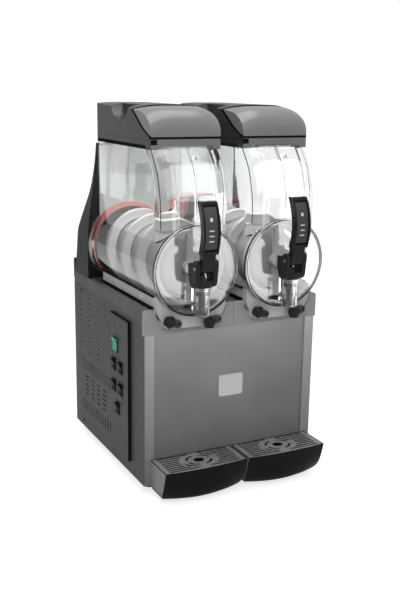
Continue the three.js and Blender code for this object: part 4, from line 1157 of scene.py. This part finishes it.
def tray_grille():
    """Slotted plate with arcs round an oval hole, and a finger notch at each back corner."""
    inset = 2.5 + GAP
    back = -GAP - inset
    ring = [(x, y) for x, y, z in tray_ring(0, TRAY_HALF - inset, TRAY_END + inset, TRAY_MIDDLE + inset, back)]
    holes = []
    for row in range(9):
        y = -70 + row * 8
        span = 33
        reach = math.sqrt(span**2 - (y - HOLE_Y) ** 2) * 1.25 if abs(y - HOLE_Y) < span else 0
        ends = ((-80, -reach - 1), (reach + 1, 80)) if reach > 4 else ((-80, 80),)
        holes += [slot_outline(start, end, y - 2.1, y + 2.1) for start, end in ends]

    def oval(radius, start, end, steps=12):
        return [(u * 1.25, v + HOLE_Y) for u, v in arc(0, 0, radius, start, end, steps)]

    for radius, starts, sweep in ((19, (15, 105, 195, 285), 60), (27, (20, 200), 45)):
        for start in starts:
            holes.append([*oval(radius, start, start + sweep), *oval(radius + 4, start + sweep, start)])
    holes.append(oval(9, 0, 352, 44))
    return plate("Z", ring, TRAY_TOP - 3.7, TRAY_TOP, holes, edge=0.5, steps=1)


def add_tray(side):
    x = TRAY[side]
    shell = add(f"tray_shell_{side}", drip_tray(), "tray_plastic", [f"drip_tray_{side}"], body=f"tray_{side}", x=x)
    # The side faces take a light grey: painted sheen on the black tray.
    second_look(shell, "tray_side_painted_sheen", lambda normal: abs(normal.x) > 0.93)
    grille = add(f"grille_plate_{side}", tray_grille(), "grille_plastic", [f"tray_grille_{side}"],
                 body=f"grille_{side}", x=x)
    # The slot walls take matte black: painted shade in the grille's slots.
    second_look(grille, "painted_shade_black", lambda normal: abs(normal.z) < 0.3)


# ---- machinery in the cabinet ----


def add_machinery():
    """The CAD nodes shown with a better finish."""
    for node, look in (("base_pan", "grey_metal"), ("compressor", "compressor_paint"), ("condenser", "condenser_fins"),
                       ("fan_motor", "grey_metal"), ("fan_blade", "grey_metal"), ("switch_box", "black_plastic")):
        for material_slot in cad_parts[node].material_slots:
            material_slot.material = LOOKS[look]


# ---- the whole machine ----

add_cabinet()
add_controls()
add_machinery()
for side in SIDES:
    add_station(side)
    add_tray(side)

# ---- floor, light and camera ----


def floor_material():
    """Pale floor, white where it is seen and softer in the light that it throws back."""
    n = Nodes(bpy.data.materials.new("studio_floor"))
    colour = n.blend(n.noise(1.5, 3), (0.5, 0.5, 0.5), (0.52, 0.52, 0.52))
    paths = n.new("ShaderNodeLightPath").outputs
    seen = n.new("ShaderNodeMath", {0: paths["Is Camera Ray"], 1: paths["Is Transmission Ray"]}, operation="MAXIMUM")
    n.filled(n.shader, {"Emission Strength": n.ranged(seen.outputs[0], 0.1, 0.75, 0, 1)})
    return n.finish(colour, n.ranged(n.noise(4, 2), 0.5, 0.6), emission_color=(1, 1, 1, 1))


floor_mesh = mesh_of([(-6, -6, 0), (6, -6, 0), (6, 6, 0), (-6, 6, 0)], [(0, 1, 2, 3)])
floor_mesh.materials.append(floor_material())
floor = new_object("studio_floor", floor_mesh)

SCENE.world = bpy.data.worlds.new("studio")
sky = Nodes(SCENE.world, "Generated")
AWAY = (0.4405, 0.8656, -0.2379)


def sky_ramp(start, end, low, high):
    """Brightness that changes with the angle between a direction and the one away from the lit side."""
    angle = sky.new("ShaderNodeVectorMath", {0: sky.place, 1: AWAY}, operation="DOT_PRODUCT")
    return sky.ranged(angle.outputs["Value"], low, high, start, end, interpolation_type="SMOOTHSTEP")


paths = sky.new("ShaderNodeLightPath").outputs
strength = sky.choice(paths["Is Transmission Ray"], sky_ramp(-0.9, -0.55, 0.02, 0.55), sky_ramp(0.6, 0.9, 0.12, 1.05))
strength = sky.choice(paths["Is Camera Ray"], strength, 1.05)
sky.filled(sky.tree.nodes["Background"], {"Strength": strength, "Color": (1, 1, 1, 1)})


def softbox(name, place, aim, size, power, only=None, blockers=None, **seen):
    """An area light at a place, turned to face a point; seen switches off what it shows in.

    only is the group that it lights, and blockers the group that casts its shadows."""
    data = given(bpy.data.lights.new(name, "AREA"), shape="RECTANGLE", size=size[0], size_y=size[1], energy=power)
    turn = (Vector(aim) - Vector(place)).to_track_quat("-Z", "Z").to_euler()
    light = given(new_object(name, data), location=place, rotation_euler=turn,
                  **{f"visible_{key}": value for key, value in seen.items()})
    given(light.light_linking, receiver_collection=only, blocker_collection=blockers)


def group(name, pieces):
    """A collection of pieces for a light that falls on them alone."""
    made = bpy.data.collections.new(name)
    for piece in pieces:
        made.objects.link(bpy.data.objects[piece])
    return made


clear_pieces = group("clear_pieces", [f"bowl_shell_{side}" for side in SIDES])
cabinet_front = group("cabinet_front", ["front_panel_sheet", *(f"side_panel_{side}_sheet" for side in SIDES)])

softbox("key_front_left", (-0.9, -1.6, 1.7), (0, 0, 0.4), (1.2, 1.2), 20)
softbox("front_sheen", (0.85, -1.35, 0.9), (0, -0.1, 0.6), (2.0, 2.6), 85, clear_pieces, diffuse=False)
softbox("panel_fill", (0, -0.45, 0.62), (0, -0.16, 0.3), (0.5, 0.1), 19, cabinet_front, cabinet_front, glossy=False)
for side in SIDES:
    lamp = DATUM + Vector((STATION[side], 150, 690)) * MM
    softbox(f"hopper_lamp_{side}", lamp, lamp - Vector((0, 0.0001, 1)), (0.11, 0.22), 0.45,
            glossy=False, transmission=False, camera=False)
softbox("top", (0, -0.1, 2.2), (0, 0, 0.5), (1.5, 1.5), 20)

CAMERA_PLACE = (-0.83137, -1.65765, 0.80847)
CAMERA_TURN, CAMERA_TILT, CAMERA_ROLL = (math.radians(a) for a in (26.97, 13.76, 0.876))
lens = given(bpy.data.cameras.new("camera"), lens=52.15, sensor_width=36)
camera = new_object("camera", lens)
camera.matrix_world = (
    Matrix.Translation(CAMERA_PLACE) @ Matrix.Rotation(-CAMERA_TURN, 4, "Z")
    @ Matrix.Rotation(math.pi / 2 - CAMERA_TILT, 4, "X") @ Matrix.Rotation(CAMERA_ROLL, 4, "Z"))
bpy.context.scene.camera = camera
SCENE.view_settings.view_transform = "Standard"
given(SCENE.cycles, max_bounces=24, transmission_bounces=20, transparent_max_bounces=24,
      caustics_refractive=False, caustics_reflective=False)
